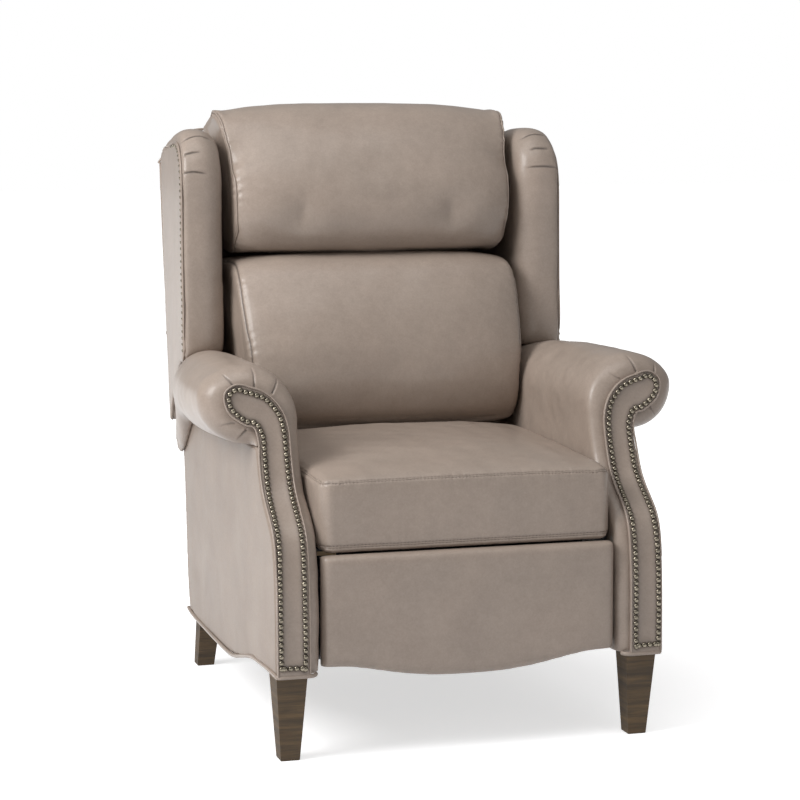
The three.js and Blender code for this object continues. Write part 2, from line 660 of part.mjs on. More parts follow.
function footrestLinks(seat_plate_low_x) {
  const pins = scissorPins();
  const outer_high = seat_plate_low_x - touch_gap;
  const outer_low = outer_high - link_thickness;
  const inner_high = outer_low - touch_gap;
  const inner_low = inner_high - link_thickness;
  const bracket_high = inner_low - touch_gap;
  const bracket_low = bracket_high - link_thickness;
  addPair('link_rear_outer', steel(), bar(
    pins.ground, pins.low, outer_low, link_width, link_thickness, [pins.ground],
    [[pins.rear_cross, inner_low, outer_low + pin_head], [pins.low, inner_low, outer_low + pin_head]]));
  addPair('link_rear_inner', steel(), bar(pins.slider, pins.top, inner_low, link_width, link_thickness,
    [pins.rear_cross, pins.top], [[pins.slider, inner_low + pin_head, seat_plate_low_x + steel_plate]]));
  addPair('link_front_inner', steel(), bar(pins.low, pins.footrest, inner_low, link_width, link_thickness,
    [pins.low, pins.front_cross], [[pins.footrest, bracket_low, inner_low + pin_head]]));
  addPair('link_front_outer', steel(), bar(
    pins.top, pins.front_low, outer_low, link_width, link_thickness, [],
    [[pins.top, inner_low, outer_low + pin_head], [pins.front_cross, inner_low, outer_low + pin_head]]));
  return { pins, outer_low, inner_low, bracket_high, bracket_low };
}

function footrest({ pins, bracket_low, bracket_high }) {
  const drop = footrest_side_bottom - footrest_middle_bottom;
  const hem = footrest_hem_shares.map(([across, down]) => [across, footrest_side_bottom - down * drop]);
  const panel = (half_width, margin) => {
    const right = hem.map(([across, z]) => [across * half_width, z + margin]);
    const left = right.slice(0, -1).reverse().map(([x, z]) => [-x, z]);
    const top = footrest_top - margin;
    return [[-half_width, top], ...left.reverse(), ...right.slice().reverse(), [half_width, top]];
  };
  const pad_rear = footrest_front + footrest_pad_depth;
  const middle_z = (footrest_side_bottom + footrest_top) / 2;
  const rings = footrest_rim_shares.map(([deep, cornered]) => {
    const inset = cornered * footrest_corner;
    const scale_x = 1 - inset / footrest_half_width;
    const scale_z = 1 - inset / (middle_z - footrest_middle_bottom);
    return panel(footrest_half_width, 0).map(([x, z]) => [
      x * scale_x, footrest_front + deep * footrest_pad_depth, middle_z + (z - middle_z) * scale_z,
    ]);
  });
  add('footrest_pad', leather(), loft(rings, ([x, , z]) => [x, z]));
  const board_rear = pad_rear + touch_gap + board_thickness;
  add('footrest_board', raw_wood(), prismY(
    panel(board_half_width, board_margin), pad_rear + touch_gap, board_rear));
  const [pin_y, pin_z] = pins.footrest;
  const plate_front = board_rear + touch_gap;
  const low = pin_z - bracket_drop;
  const high = pin_z + link_width / 2;
  const plate = prismX([
    [plate_front, low], [plate_front + link_width / 2, low], [pin_y + link_width / 2, pin_z - link_width / 2],
    [pin_y + link_width / 2, high], [plate_front, high],
  ], bracket_low, bracket_high).subtract(pinHole(pins.footrest));
  const flange = block(bracket_low - bracket_flange, bracket_low + link_thickness / 2, plate_front,
    plate_front + steel_plate, low, high);
  addPair('footrest_bracket', steel(), plate.add(flange));
}

function seatUnit(slide_low_x) {
  const high_x = slide_low_x - touch_gap;
  const low_x = high_x - steel_plate;
  const links = footrestLinks(low_x);
  const { pins } = links;
  const [slider_y, slider_z] = pins.slider;
  const pivot = [overall_depth - back_pivot_reach, back_pivot_height];
  const web = [
    [seat_plate_front, seat_plate_top], [seat_plate_front, seat_plate_top - link_width / 2],
    [pins.ground[0] - link_width * 2, pins.ground[1]], [slider_y - link_width, slider_z - link_width],
    [slider_y + link_width, slider_z - link_width], [pins.ground[0] + link_width * 2, seat_plate_underside],
    [seat_plate_rear, seat_plate_underside], [pivot[0] + link_width, pivot[1] - link_width],
    [pivot[0] + link_width, pivot[1] + link_width], [pivot[0] - link_width, pivot[1] + link_width],
    [seat_plate_rear - plate_shoulder, seat_plate_top],
  ];
  const flange = block(
    seat_flange_inner_x, low_x + steel_plate / 2, seat_plate_front, seat_plate_rear - plate_shoulder,
    seat_plate_top - steel_plate, seat_plate_top);
  const studs = [
    [pins.ground, links.outer_low], [pivot, links.outer_low],
  ];
  const plate = studs.reduce(
    (solid, [at, end]) => solid.add(rod(at[0], at[1], end, low_x + pin_head, pin_radius)),
    prismX(web, low_x, high_x).subtract(prismX(pins.slot, 0, overall_depth)).add(flange));
  addPair('seat_plate', steel(), plate);
  const tube_end = links.outer_low - touch_gap;
  add('footrest_torque_tube', steel(), rod(
    pins.ground[0], pins.ground[1], -tube_end, tube_end, torque_tube_radius));

  const rail_top = seat_plate_top - steel_plate - touch_gap;
  const rail_low = rail_top - seat_rail_height;
  const rails_rear = seat_plate_rear - plate_shoulder;
  const cross_half = seat_flange_inner_x + seat_rail_bearing;
  const cross = (front) => block(
    -cross_half, cross_half, front, front + seat_cross_rail_depth, rail_low, rail_top);
  add('seat_front_rail', raw_wood(), cross(seat_plate_front));
  add('seat_rear_rail', raw_wood(), cross(rails_rear - seat_cross_rail_depth));
  const spring_front = seat_plate_front + seat_cross_rail_depth + touch_gap;
  const spring_rear = rails_rear - seat_cross_rail_depth - touch_gap;
  for (let i = 0; i < spring_count; i += 1) {
    const middle_x = (i - (spring_count - 1) / 2) * spring_pitch;
    add(`seat_spring_${i + 1}`, steel(), sinuousSpring(
      middle_x, spring_front, spring_rear, rail_top - spring_wire));
  }
  add('seat_deck_pad', fibre(), block(-low_x, low_x, seat_plate_front, rails_rear,
    seat_plate_top + touch_gap, seat_plate_top + touch_gap + deck_pad_thickness));
  return { low_x, links };
}

// A flat zigzag wire between the front and the rear seat rail.
function sinuousSpring(middle_x, front, rear, height) {
  const step = (rear - front) / (spring_waves * 2);
  const path = Array.from({ length: spring_waves * 2 + 1 }, (_, i) => {
    const side = i === 0 || i === spring_waves * 2 ? 0 : (i % 2 ? 1 : -1);
    return [middle_x + side * spring_swing, front + i * step];
  });
  const shape = new THREE.Shape([
    ...path.map(([x, y]) => new THREE.Vector2(x, y)),
    ...path.slice().reverse().map(([x, y]) => new THREE.Vector2(x + spring_stroke, y)),
  ]);
  const geometry = new THREE.ExtrudeGeometry(shape, { depth: spring_wire, bevelEnabled: false });
  return toSolid(geometry.translate(0, 0, height));
}

// A cushion across the chair, from its side outlines at the middle and at the ends.
function cushion(sizes) {
  const { middle_shares, end_shares, width_shares, stations, front, rear, bottom, top, half_width } = sizes;
  const curve = (shares) => new THREE.CatmullRomCurve3(
    shares.map(([back, up]) => new THREE.Vector3(mix(front, rear, back), mix(bottom, top, up), 0)), true);
  const [full, slim] = [curve(middle_shares), curve(end_shares)];
  const count = middle_shares.length * cushion_points_each;
  const drawnIn = (value, low, high, by) =>
    mix(value, (low + high) / 2, (2 * by * cushion_corner) / (high - low));
  const ring = (side) => ([across, crown, drawn]) => Array.from({ length: count }, (_, i) => {
    const [end, middle] = [slim.getPoint(i / count), full.getPoint(i / count)];
    const y = THREE.MathUtils.clamp(drawnIn(mix(end.x, middle.x, crown), front, rear, drawn), front, rear);
    const z = THREE.MathUtils.clamp(drawnIn(mix(end.y, middle.y, crown), bottom, top, drawn), bottom, top);
    const x = side * across * half_width * shareAt(width_shares, (z - bottom) / (top - bottom));
    return sizes.stop([x, y + sizes.dent(x, y, z), z]);
  });
  const sides = stations.slice(0, -1);
  const rings = [...sides.map(ring(-1)), ring(1)(stations.at(-1)), ...sides.slice().reverse().map(ring(1))];
  return loft(rings, ([, y, z]) => [y, z]);
}

function seatCushion() {
  add('seat_cushion', leather(), cushion({
    middle_shares: seat_middle_shares, end_shares: seat_end_shares, width_shares: seat_width_shares,
    stations: seat_stations_shares, front: cushion_front, rear: seat_plate_rear, bottom: cushion_bottom,
    top: cushion_crown, half_width: cushion_half_width, dent: () => 0, stop: underLumbar,
  }));
}

// Where a cushion's neighbours stop it: the lining of the back, the arms, and the lumbar cushion's underside.
const lining_cover = skin_panel_thickness + post_depth + back_rail_depth + liner_thickness + cushion_ease;
const restingOnLining = ([x, y, z]) => [x, Math.min(y, setbackAt(rear_line, z) - lining_cover), z];

function betweenArms([x, y, z]) {
  const above = Math.max(0, z - arm_height + roll_at_wing.start_drop - waist_lag);
  const most = arm_inner_x - cushion_ease + above * waist_lead_share;
  return restingOnLining([THREE.MathUtils.clamp(x, -most, most), y, z]);
}

function underLumbar([x, y, z]) {
  const front = overall_depth - lumbar_reach;
  const under = lumbar_middle_shares.slice(0, 4).reverse();
  const up = shareAt(under, (y - front) / (lumbar_reach - lumbar_rear_reach));
  const most = mix(lumbar_bottom, lumbar_top, up) - cushion_ease;
  return [x, y, Math.min(z, most)];
}

function backCushions() {
  const [pillow_front, pillow_rear] = [overall_depth - pillow_reach, overall_depth - pillow_rear_reach];
  add('lumbar_cushion', leather(), cushion({
    middle_shares: lumbar_middle_shares, end_shares: lumbar_end_shares, width_shares: lumbar_width_shares,
    stations: plump_stations_shares,
    front: overall_depth - lumbar_reach, rear: overall_depth - lumbar_rear_reach,
    bottom: lumbar_bottom, top: lumbar_top, half_width: lumbar_half_width, dent: () => 0,
    stop: betweenArms,
  }));
  const dent = (x, y, z) => {
    const away = Math.hypot(Math.abs(x) - dimple_x, z - overall_height * (1 - dimple_share)) / dimple_radius;
    return y < (pillow_front + pillow_rear) / 2 ? dimple_depth * Math.exp(-away * away) : 0;
  };
  add('head_pillow', leather(), cushion({
    middle_shares: pillow_middle_shares, end_shares: pillow_end_shares, width_shares: pillow_width_shares,
    stations: plump_stations_shares, front: pillow_front, rear: pillow_rear, bottom: pillow_bottom,
    top: overall_height, half_width: pillow_half_width, dent, stop: restingOnLining,
  }));
}

function backFrame(seat_plate_low_x) {
  const slice = (solid, low, high) => solid.intersect(
    block(-overall_depth, overall_depth, 0, overall_depth * 2, low, high));
  const high_shape = [
    [-back_low_half_width, back_bottom], [back_low_half_width, back_bottom],
    [back_low_half_width, back_shoulder],
    [back_high_half_width, back_shoulder + back_flare_rise],
    [back_high_half_width, wing_top - back_shoulder_drop], [pillow_half_width, back_top],
    [-pillow_half_width, back_top], [-back_high_half_width, wing_top - back_shoulder_drop],
    [-back_high_half_width, back_shoulder + back_flare_rise],
    [-back_low_half_width, back_shoulder],
  ];
  add('back_outer_panel', leather(), rearBand(
    skin_panel_thickness, 0, -back_high_half_width, back_high_half_width)
    .intersect(prismY(high_shape, 0, overall_depth * 2)));
  const post_cover = skin_panel_thickness + touch_gap;
  const rail_cover = post_cover + post_depth + touch_gap;
  const post_inner_x = post_outer_x - post_width;
  addPair('back_post', raw_wood(), slice(
    rearBand(post_depth, post_cover, post_inner_x, post_outer_x),
    post_bottom, back_cap_bottom - post_end_gap));
  const rail = (name, middle, half_width, cover) => add(name, raw_wood(), slice(
    rearBand(back_rail_depth, cover, -half_width, half_width),
    middle - back_rail_height / 2, middle + back_rail_height / 2));
  add('back_top_cap', leather(), slice(
    rearBand(post_depth + back_rail_depth, post_cover, -back_rail_half_width, back_rail_half_width),
    back_cap_bottom, back_top));
  add('back_liner', leather(), slice(
    rearBand(liner_thickness, rail_cover + back_rail_depth + touch_gap, -liner_half_width, liner_half_width),
    liner_bottom, back_cap_bottom - touch_gap));
  rail('back_middle_rail', middle_rail_share * overall_height, back_rail_half_width, rail_cover);
  rail('back_bottom_rail', bottom_rail_middle, post_inner_x - touch_gap, post_cover);
  webbing_heights_shares.forEach((share, i) => {
    const middle = share * overall_height;
    add(`back_webbing_${i + 1}`, fibre(), slice(
      rearBand(webbing_thickness, rail_cover, -webbing_half_width, webbing_half_width),
      middle - webbing_height / 2, middle + webbing_height / 2));
  });
  const bracket_high_x = seat_plate_low_x - touch_gap;
  const bracket_low_x = post_outer_x + touch_gap;
  const [y, z] = [overall_depth - back_pivot_reach, back_pivot_height];
  const post_front = (height) => setbackAt(rear_line, height) - post_cover - post_depth;
  const post_rear = (height) => setbackAt(rear_line, height) - post_cover - bracket_lap;
  const bracket = [
    [y - link_width, z - link_width], [post_front(z - bracket_height / 2), z - bracket_height / 2],
    [post_rear(z - bracket_height / 2), z - bracket_height / 2], [post_rear(z), z],
    [post_rear(z + bracket_height / 2), z + bracket_height / 2],
    [post_front(z + bracket_height / 2), z + bracket_height / 2], [y - link_width, z + link_width],
  ];
  addPair('back_bracket', steel(), prismX(bracket, bracket_low_x, bracket_high_x).subtract(pinHole([y, z])));
}

// Outer face of a wing: it leans outwards to the front.
const wing_flare_share = (wing_front_x - back_high_half_width) / (overall_depth - wing_front);
const wing_outer_x = (y) => wing_front_x - (y - wing_front) * wing_flare_share;

// The lower part of a wing follows the arm's height, and the upper part the overall height.
function wingHeight(up) {
  const [bottom, low_top] = [wing_bottom_share * arm_height, wing_low_top_share * arm_height];
  if (up < wing_low_share) return mix(bottom, low_top, up / wing_low_share);
  return mix(low_top, wing_top, (up - wing_low_share) / (1 - wing_low_share));
}

function wings() {
  const place = ([back, up, rounded], inset) => {
    const [y, z] = [mix(wing_front, overall_depth, back), wingHeight(up)];
    const middle_y = mix(wing_front, overall_depth, wing_heart_shares[0]);
    const middle_z = wingHeight(wing_heart_shares[1]);
    const away = Math.hypot(middle_y - y, middle_z - z);
    return [y + ((middle_y - y) * inset * rounded) / away, z + ((middle_z - z) * inset * rounded) / away];
  };
  const rings = wing_stations_shares.map(([across, drawn]) => wing_side_shares.map((share) => {
    const [y, z] = place(share, drawn * wing_edge_round);
    const outer = wing_outer_x(y) - wing_panel_thickness - touch_gap;
    return [mix(wing_inner_x, outer, across), y, z];
  }));
  const room = prismX([...shifted(rear_line, -skin_panel_thickness - touch_gap),
    [overall_depth * 2, rear_line.at(-1)[1]], [overall_depth * 2, rear_line[0][1]]], 0, overall_depth);
  addPair('wing_padding', leather(), loft(rings, ([, y, z]) => [y, z]).subtract(room));
  const side = wing_side_shares.map(([back, up, rounded]) =>
    place([back, up, Math.max(rounded, wing_panel_least_share)], wing_panel_inset));
  const panel = prismX(side, 0, wing_panel_thickness);
  addPair('wing_outer_panel', leather(),
    moved(panel, (x, y, z) => [x + wing_outer_x(y) - wing_panel_thickness, y, z]).subtract(room));
}

legs();
arms();
const slide_low_x = base();
const { low_x: seat_plate_low_x, links } = seatUnit(slide_low_x);
footrest(links);
seatCushion();
backFrame(seat_plate_low_x);
backCushions();
wings();

// The origin is on the floor below the middle of the chair.
chair.position.y = -overall_depth / 2;
export default chair;
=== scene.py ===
"""The looks of a wingback recliner, built round its packed frame.

Lengths in tables are millimetres, and depths are measured backwards from the front of the arms. Settings, mesh
sizes and everything that goes into a mesh are in metres. The sitter's left is +X.
"""
import json
import math

import bmesh
import bpy
import numpy as np
from bpy.props import FloatProperty, FloatVectorProperty, IntProperty, PointerProperty
from mathutils import Matrix, Vector
from mathutils.bvhtree import BVHTree


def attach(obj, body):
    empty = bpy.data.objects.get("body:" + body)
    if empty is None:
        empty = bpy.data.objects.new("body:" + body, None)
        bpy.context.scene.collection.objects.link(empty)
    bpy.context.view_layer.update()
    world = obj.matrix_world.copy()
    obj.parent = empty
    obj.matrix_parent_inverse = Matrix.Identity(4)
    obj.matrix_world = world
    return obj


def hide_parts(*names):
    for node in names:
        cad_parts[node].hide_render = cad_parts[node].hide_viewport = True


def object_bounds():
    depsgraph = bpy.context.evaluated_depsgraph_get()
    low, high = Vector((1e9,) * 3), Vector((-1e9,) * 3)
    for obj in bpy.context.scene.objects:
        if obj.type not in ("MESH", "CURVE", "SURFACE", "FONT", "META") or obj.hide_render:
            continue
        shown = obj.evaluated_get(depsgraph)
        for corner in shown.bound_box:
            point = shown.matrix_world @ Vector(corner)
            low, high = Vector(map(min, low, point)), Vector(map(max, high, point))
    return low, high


bl_info = {
    "name": "Wingback recliner",
    "version": (1, 0, 0),
    "blender": (4, 5, 0),
    "location": "3D View > Sidebar > Recliner",
    "description": "Upholstery, trim, wood and stage of a wingback recliner",
    "category": "Add Mesh",
}

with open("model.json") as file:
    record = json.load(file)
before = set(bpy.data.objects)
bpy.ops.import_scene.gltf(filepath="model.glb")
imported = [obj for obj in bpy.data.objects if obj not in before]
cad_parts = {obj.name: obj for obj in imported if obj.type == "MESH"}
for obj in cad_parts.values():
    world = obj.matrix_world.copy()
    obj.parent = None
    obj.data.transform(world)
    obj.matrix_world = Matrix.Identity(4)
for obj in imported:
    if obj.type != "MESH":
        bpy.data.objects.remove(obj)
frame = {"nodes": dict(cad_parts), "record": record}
CAD_LOW, CAD_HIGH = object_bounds()
MM = 0.001
FRONT = CAD_LOW.y
DEPTH = 956.0
HEIGHT = 1099.0
ARM_HEIGHT = 655.0
WING_DEPTH = 357.0
WING_TOP = 1050.0
WING_START = DEPTH - WING_DEPTH
PAD_GAP = 0.3
SKIN = 12.0
LINING_DEPTH = 91.2
SIDES = (("left", 1), ("right", -1))

# Lines that the frame shares with the upholstery
REAR_LEAN = 181.0
REAR_LINE = [
    (0.095, 0.9983), (0.189, 0.8662), (0.331, 0.7289), (0.384, 0.6681), (0.473, 0.5519),
    (0.56, 0.4041), (0.649, 0.2694), (0.755, 0.1426), (0.89, 0.0317), (0.951, 0.0),
]
ARM_FRONT = [
    (0.2, 0), (0.4, 0.01), (0.5, 0.045), (0.56, 0.1), (0.6, 0.2), (0.635, 0.38), (0.66, 0.52),
    (0.69, 0.65), (0.73, 0.75), (0.79, 0.85), (0.86, 0.92), (0.94, 0.97), (1.04, 1),
]
ARM_SETBACK = 154.0
ARM_SWEEP = [
    (0.66, 0.862), (0.705, 0.858), (0.741, 0.845), (0.782, 0.826), (0.834, 0.797), (0.904, 0.745),
    (0.957, 0.686), (0.98, 0.624), (0.992, 0.57), (1.006, 0.523),
]
ARM_HEM = [
    (0.09, 1.002), (0.145, 0.985), (0.2, 0.965), (0.245, 0.92), (0.3, 0.845), (0.36, 0.765), (0.43, 0.727),
    (0.6, 0.727), (0.75, 0.74), (0.81, 0.77),
]
LEG_HEIGHT = 150.0

# Sections of an arm's roll, behind their depth: inner side and start of the crown, middle and top, outer side
# and widest height, and underside, each in width and height
ROLL_FRONT = (286, 545, 348, 621, 391, 599, 343, 548)
ROLL_STATIONS = [
    (211, (264, 570, 352, 655, 432, 596, 343, 519)),
    (400, (264, 568, 346, 653, 423, 589, 342, 508)),
    (565, (264, 563, 334, 643, 400, 575, 340, 510)),
    (680, (264, 548, 321, 618, 377, 545, 338, 501)),
    (800, (264, 480, 304, 545, 350, 500, 335, 425)),
    (956, (264, 480, 304, 545, 350, 500, 335, 425)),
]
ARM_INNER = 264.0
ARM_OUTER_FRONT = 341.0
ARM_OUTER_REAR = 330.0
ARM_SIDE_X = 341.3
ARM_LOW = 150.3
ARM_FRAME_X = 299.7
ARM_FRAME_TOP = 518.3
ARM_COLUMN = 99.0
ARM_PAD_UNDERSIDE = 330.0
ROLL_FRONT_ROUND = 46.0
BORDER_ROUND = 20.0
FACING_THICKNESS = 12.0

# Outline of an arm's facing, and its rows of nails, in width and height
FACING_OUTLINE = [
    (285, 151), (285, 300), (285, 420), (285, 529), (286, 548), (289, 562), (293, 574), (300, 587),
    (308, 597), (319, 607), (333, 615), (349, 620), (364, 625), (378, 624), (392, 614), (395, 600),
    (390, 582), (381, 571), (370, 563), (358, 556), (349, 555), (343, 548), (340, 535), (339, 520),
    (341, 480), (341, 320), (341, 151),
]
NAIL_PATH = [
    (335, 167), (335, 300), (333, 400), (331, 470), (330, 520), (330, 531), (332, 542), (339, 558),
    (348, 563), (356, 564), (366, 570), (376, 578), (383, 586), (386, 596), (386, 607), (378, 615),
    (370, 618), (362, 614), (351, 611), (341, 608), (331, 604), (322, 599), (314, 591), (308, 583),
    (303, 576), (299, 567), (296, 558), (295, 548), (293, 529), (293, 420), (294, 300), (294, 172),
    (300, 167), (315, 167), (329, 167),
]
# Folds where a roll is gathered to its facing: width and height there, the way they run, length and strength
ROLL_FOLDS = {
    "right": [(376, 623, 0.61, 0.79, 26, 1), (339, 618, 0, 1, 34, 1), (308, 608, -0.5, 0.86, 30, 1),
              (376, 560, 1, -0.1, 22, 0.5), (357, 548, 0.65, -0.76, 20, 0.8)],
    "left": [(355, 624, -0.37, 0.93, 30, 1), (390, 618, 0.3, 0.95, 22, 1), (324, 611, -0.93, 0.37, 18, 0.5),
             (378, 562, 0.5, -0.87, 18, 0.8)],
}
# Folds round the top of a wing's front edge, in width, depth and height
WING_FOLDS = {
    "right": [[(371, 640, 1027), (358, 636, 1036), (346, 636, 1039), (330, 640, 1036), (312, 645, 1026)],
              [(372, 612, 1004), (352, 608, 1010), (334, 608, 1011)],
              [(374, 606, 968), (354, 601, 972), (340, 601, 971), (326, 603, 968)]],
    "left": [[(304, 645, 1029), (323, 640, 1039), (341, 636, 1043), (355, 640, 1040)],
             [(313, 612, 1012), (325, 608, 1016), (354, 608, 1015)],
             [(307, 606, 975), (325, 601, 977), (345, 601, 977), (371, 606, 974)]],
}

# A wing from the side: shares of its depth and height, then how far its inner and its outer edge are rounded
WING_SIDE = [
    (0, 0.3, 38, 9), (-0.003, 0.5, 40, 9), (0, 0.68, 42, 10), (0.004, 0.81, 42, 12), (0.022, 0.895, 42, 17),
    (0.066, 0.952, 42, 24), (0.15, 0.99, 40, 30), (0.27, 1, 36, 30), (0.45, 0.994, 32, 28),
    (0.66, 0.975, 26, 24), (0.86, 0.945, 14, 12), (0.966, 0.875, 0, 0), (0.91, 0.64, 0, 0),
    (0.84, 0.42, 0, 0), (0.76, 0.2, 0, 0), (0.7, 0.06, 0, 0), (0.65, 0.0, 0, 0), (0.6, 0.03, 0, 0),
    (0.48, 0.13, 0, 0), (0.34, 0.21, 0, 0), (0.17, 0.277, 10, 2),
]
WING_INNER_SHARE = 0.55
WING_OUTER_SHARE = 0.42
WING_INNER = 290.0
WING_FRONT_X = 374.0
WING_REAR_X = 345.0
WING_SKIN = 4.0
WING_PAD_SHARE = 0.55
WING_SKIN_SHARE = 0.85
WING_GAP = 3.0
WING_FIT = 90.0
WING_SINK = 25.0
WING_MOST_DROP = 30.0
WING_POINTS = 200

# Cushions: front, rear, underside and top; side in shares of depth and height, at the middle and at the ends;
# share of the width at shares of the height; and the line of the seam
PILLOW_BOX = (571, 862, 810, 1099)
PILLOW_MIDDLE = [
    (0.148, 0.04), (0.045, 0.121), (0.003, 0.277), (0.02, 0.415), (0.096, 0.623), (0.216, 0.813),
    (0.371, 0.952), (0.543, 1), (0.715, 0.985), (0.93, 0.93), (1, 0.8), (0.985, 0.6), (0.95, 0.35),
    (0.88, 0.14), (0.7, 0.035), (0.35, 0.035),
]
PILLOW_END = [
    (0.24, 0.06), (0.175, 0.14), (0.12, 0.25), (0.113, 0.39), (0.145, 0.51), (0.22, 0.6), (0.29, 0.78),
    (0.4, 0.9), (0.56, 0.938), (0.8, 0.93), (0.93, 0.87), (0.965, 0.7), (0.94, 0.45), (0.87, 0.2),
    (0.72, 0.04), (0.42, 0.01),
]
PILLOW_WIDTH = [
    (0, 0.925), (0.14, 0.944), (0.375, 0.958), (0.68, 0.966), (0.8, 0.99), (0.93, 1.012), (1, 1.0),
]
PILLOW_SEAM = [
    (262, 682, 811), (267, 626, 848), (270, 610, 867), (271, 604, 916), (272, 611, 954), (273, 635, 979),
    (275, 646, 1011), (279, 678, 1062), (283, 722, 1081), (284, 790, 1078),
]
LUMBAR_BOX = (485, 820, 486, 817)
LUMBAR_MIDDLE = [
    (0.2, 0), (0.127, 0.055), (0.046, 0.133), (0.003, 0.284), (0.012, 0.465), (0.07, 0.647), (0.15, 0.8),
    (0.245, 0.93), (0.36, 0.99), (0.5, 1), (0.9, 0.98), (0.985, 0.8), (0.93, 0.5), (0.86, 0.25),
    (0.8, 0.04), (0.6, 0),
]
LUMBAR_END = [
    (0.22, 0.04), (0.14, 0.08), (0.085, 0.16), (0.06, 0.3), (0.081, 0.438), (0.141, 0.59), (0.205, 0.73),
    (0.271, 0.86), (0.37, 0.94), (0.6, 0.957), (0.9, 0.93), (0.955, 0.77), (0.9, 0.5), (0.83, 0.27),
    (0.77, 0.08), (0.6, 0.04),
]
LUMBAR_WIDTH = [(0, 0.953), (0.32, 0.953), (0.45, 0.975), (0.6, 0.99), (0.75, 1), (1, 1)]
LUMBAR_SEAM = [
    (263, 562, 492), (266, 530, 560), (267, 513, 631), (270, 534, 681), (272, 556, 727), (273, 579, 770),
    (272, 620, 800), (272, 700, 806),
]
SEAT_BOX = (25, 640, 349, 503)
SEAT_HALF = 262
SEAT_MIDDLE = [
    (0.012, 0), (0.002, 0.03), (0, 0.38), (0.004, 0.7), (0.014, 0.81), (0.06, 0.88), (0.14, 0.94),
    (0.3, 0.985), (0.52, 1), (0.7, 1), (0.8, 0.985), (0.85, 0.87), (0.92, 0.78), (0.99, 0.72), (1, 0.5),
    (1, 0.2), (0.985, 0), (0.6, 0), (0.3, 0),
]
SEAT_END = [
    (0.015, 0.005), (0.005, 0.035), (0.005, 0.38), (0.008, 0.68), (0.016, 0.785), (0.06, 0.815),
    (0.14, 0.835), (0.3, 0.86), (0.52, 0.885), (0.7, 0.9), (0.8, 0.895), (0.86, 0.83), (0.93, 0.75),
    (0.98, 0.69), (0.99, 0.5), (0.99, 0.2), (0.975, 0.02), (0.6, 0.01), (0.3, 0.01),
]
SEAT_WIDTH = [(0, 1), (1, 1)]
SEAT_RIM = [
    (262, 560), (262, 300), (262, 70), (261.5, 50), (260, 39), (255, 32), (247, 27), (237, 25), (120, 25),
]
SEAT_SEAMS = (475, 361)
# Where a section lies across a cushion, how far it is crowned, and how far its edge is drawn in
PLUMP_STATIONS = [
    (1, 0, 1), (0.985, 0.02, 0.25), (0.95, 0.2, 0), (0.86, 0.5, 0), (0.72, 0.77, 0), (0.62, 0.88, 0),
    (0.53, 0.94, 0), (0.44, 0.97, 0), (0.25, 1, 0), (0, 1, 0),
]
SEAT_STATIONS = [
    (1, 0, 1), (0.985, 0.03, 0.3), (0.94, 0.2, 0), (0.8, 0.55, 0), (0.55, 0.88, 0), (0.28, 1, 0), (0, 1, 0),
]
SEAT_CORNER = 24.0
# The shaped lower edge of the footrest: shares of its half width and of its fall
FOOTREST_HEM = [
    (1, 0), (0.88, 0.03), (0.76, 0.15), (0.62, 0.4), (0.47, 0.68), (0.3, 0.89), (0.15, 0.98), (0, 1),
]
END_START = 0.94

# Seams: the points that a path is laid with, then in metres the groove's width and the gathers' length and reach
SEAM_POINTS = 260
SEAM_WIDTH = 0.0028
GATHER_BEAT = 0.021
GATHER_REACH = 0.016

# The photograph's camera: turns about the upright, across and along the view, and place in metres
CAMERA_TURNS = (0.287495, 0.117565, -0.00179)
CAMERA_PLACE = (-1.25917, -4.29575, 1.07803)


def number(name, description, default, low=0.0, **more):
    return FloatProperty(name=name, description=description, default=default, min=low, **more)


def length(name, description, default, low=0.0):
    return number(name, description, default, low, unit="LENGTH")


def tint(name, description, default):
    return FloatVectorProperty(
        name=name, description=description, default=default, subtype="COLOR", size=3, min=0, max=1)


class LeatherSettings(bpy.types.PropertyGroup):
    """Colour and finish of the hide"""
    colour: tint("Hide colour", "Colour of the leather before its clouding", (0.338, 0.274, 0.229))
    roughness: number("Roughness", "How dull the finish of the leather is", 0.4, max=1)
    cloud_size: length("Cloud size", "Size of the soft clouds in the colour", 0.07, 0.005)
    grain_size: length("Grain size", "Size of the pebbles of the grain", 0.0016, 0.0002)


class TrimSettings(bpy.types.PropertyGroup):
    """Nails, welts and seams"""
    nail_pitch: length("Nail pitch", "Distance between two nails of a facing", 0.0101, 0.002)
    nail_width: length("Nail width", "Diameter of a nail's head on a facing", 0.0097, 0.001)
    wing_nail_pitch: length("Wing nail pitch", "Distance between two nails of a wing", 0.0118, 0.002)
    wing_nail_width: length("Wing nail width", "Diameter of a nail's head on a wing", 0.0058, 0.001)
    nail_colour: tint("Nail colour", "Colour of the aged metal", (0.21, 0.185, 0.145))
    welt_radius: length("Welt radius", "Radius of the covered cord along the hems", 0.0036, 0.0005)
    seam_depth: length("Seam depth", "How far a sewn seam is drawn in", 0.0022)


class CushionSettings(bpy.types.PropertyGroup):
    """How the cushions are filled"""
    mesh_size: length("Mesh size", "Size of the faces that the filling is worked out on", 0.008, 0.003)
    pressure: number("Pressure", "Pressure of the filling", 4.0)
    swell: length("Swell", "The most that the filling may push a point out", 0.007)
    steps: IntProperty(name="Steps", description="Steps of the filling", default=20, min=2, max=60)


class WoodSettings(bpy.types.PropertyGroup):
    """Stain of the legs"""
    stain: tint("Leg stain", "Colour of the stained legs", (0.1, 0.063, 0.03))
    edge: length("Leg edge", "Rounding of a leg's edges", 0.0016, 0.0002)


class StageSettings(bpy.types.PropertyGroup):
    """Camera and light"""
    lens: number("Lens", "Focal length of the camera in millimetres", 109.04, 10)
    key: number("Key light", "Power of the light on the left", 100)
    fill: number("Fill light", "Power of the light in front", 6)
    top: number("Top light", "Power of the light above", 31)
    sky: number("Surround", "Strength of the light from all round", 0.3)


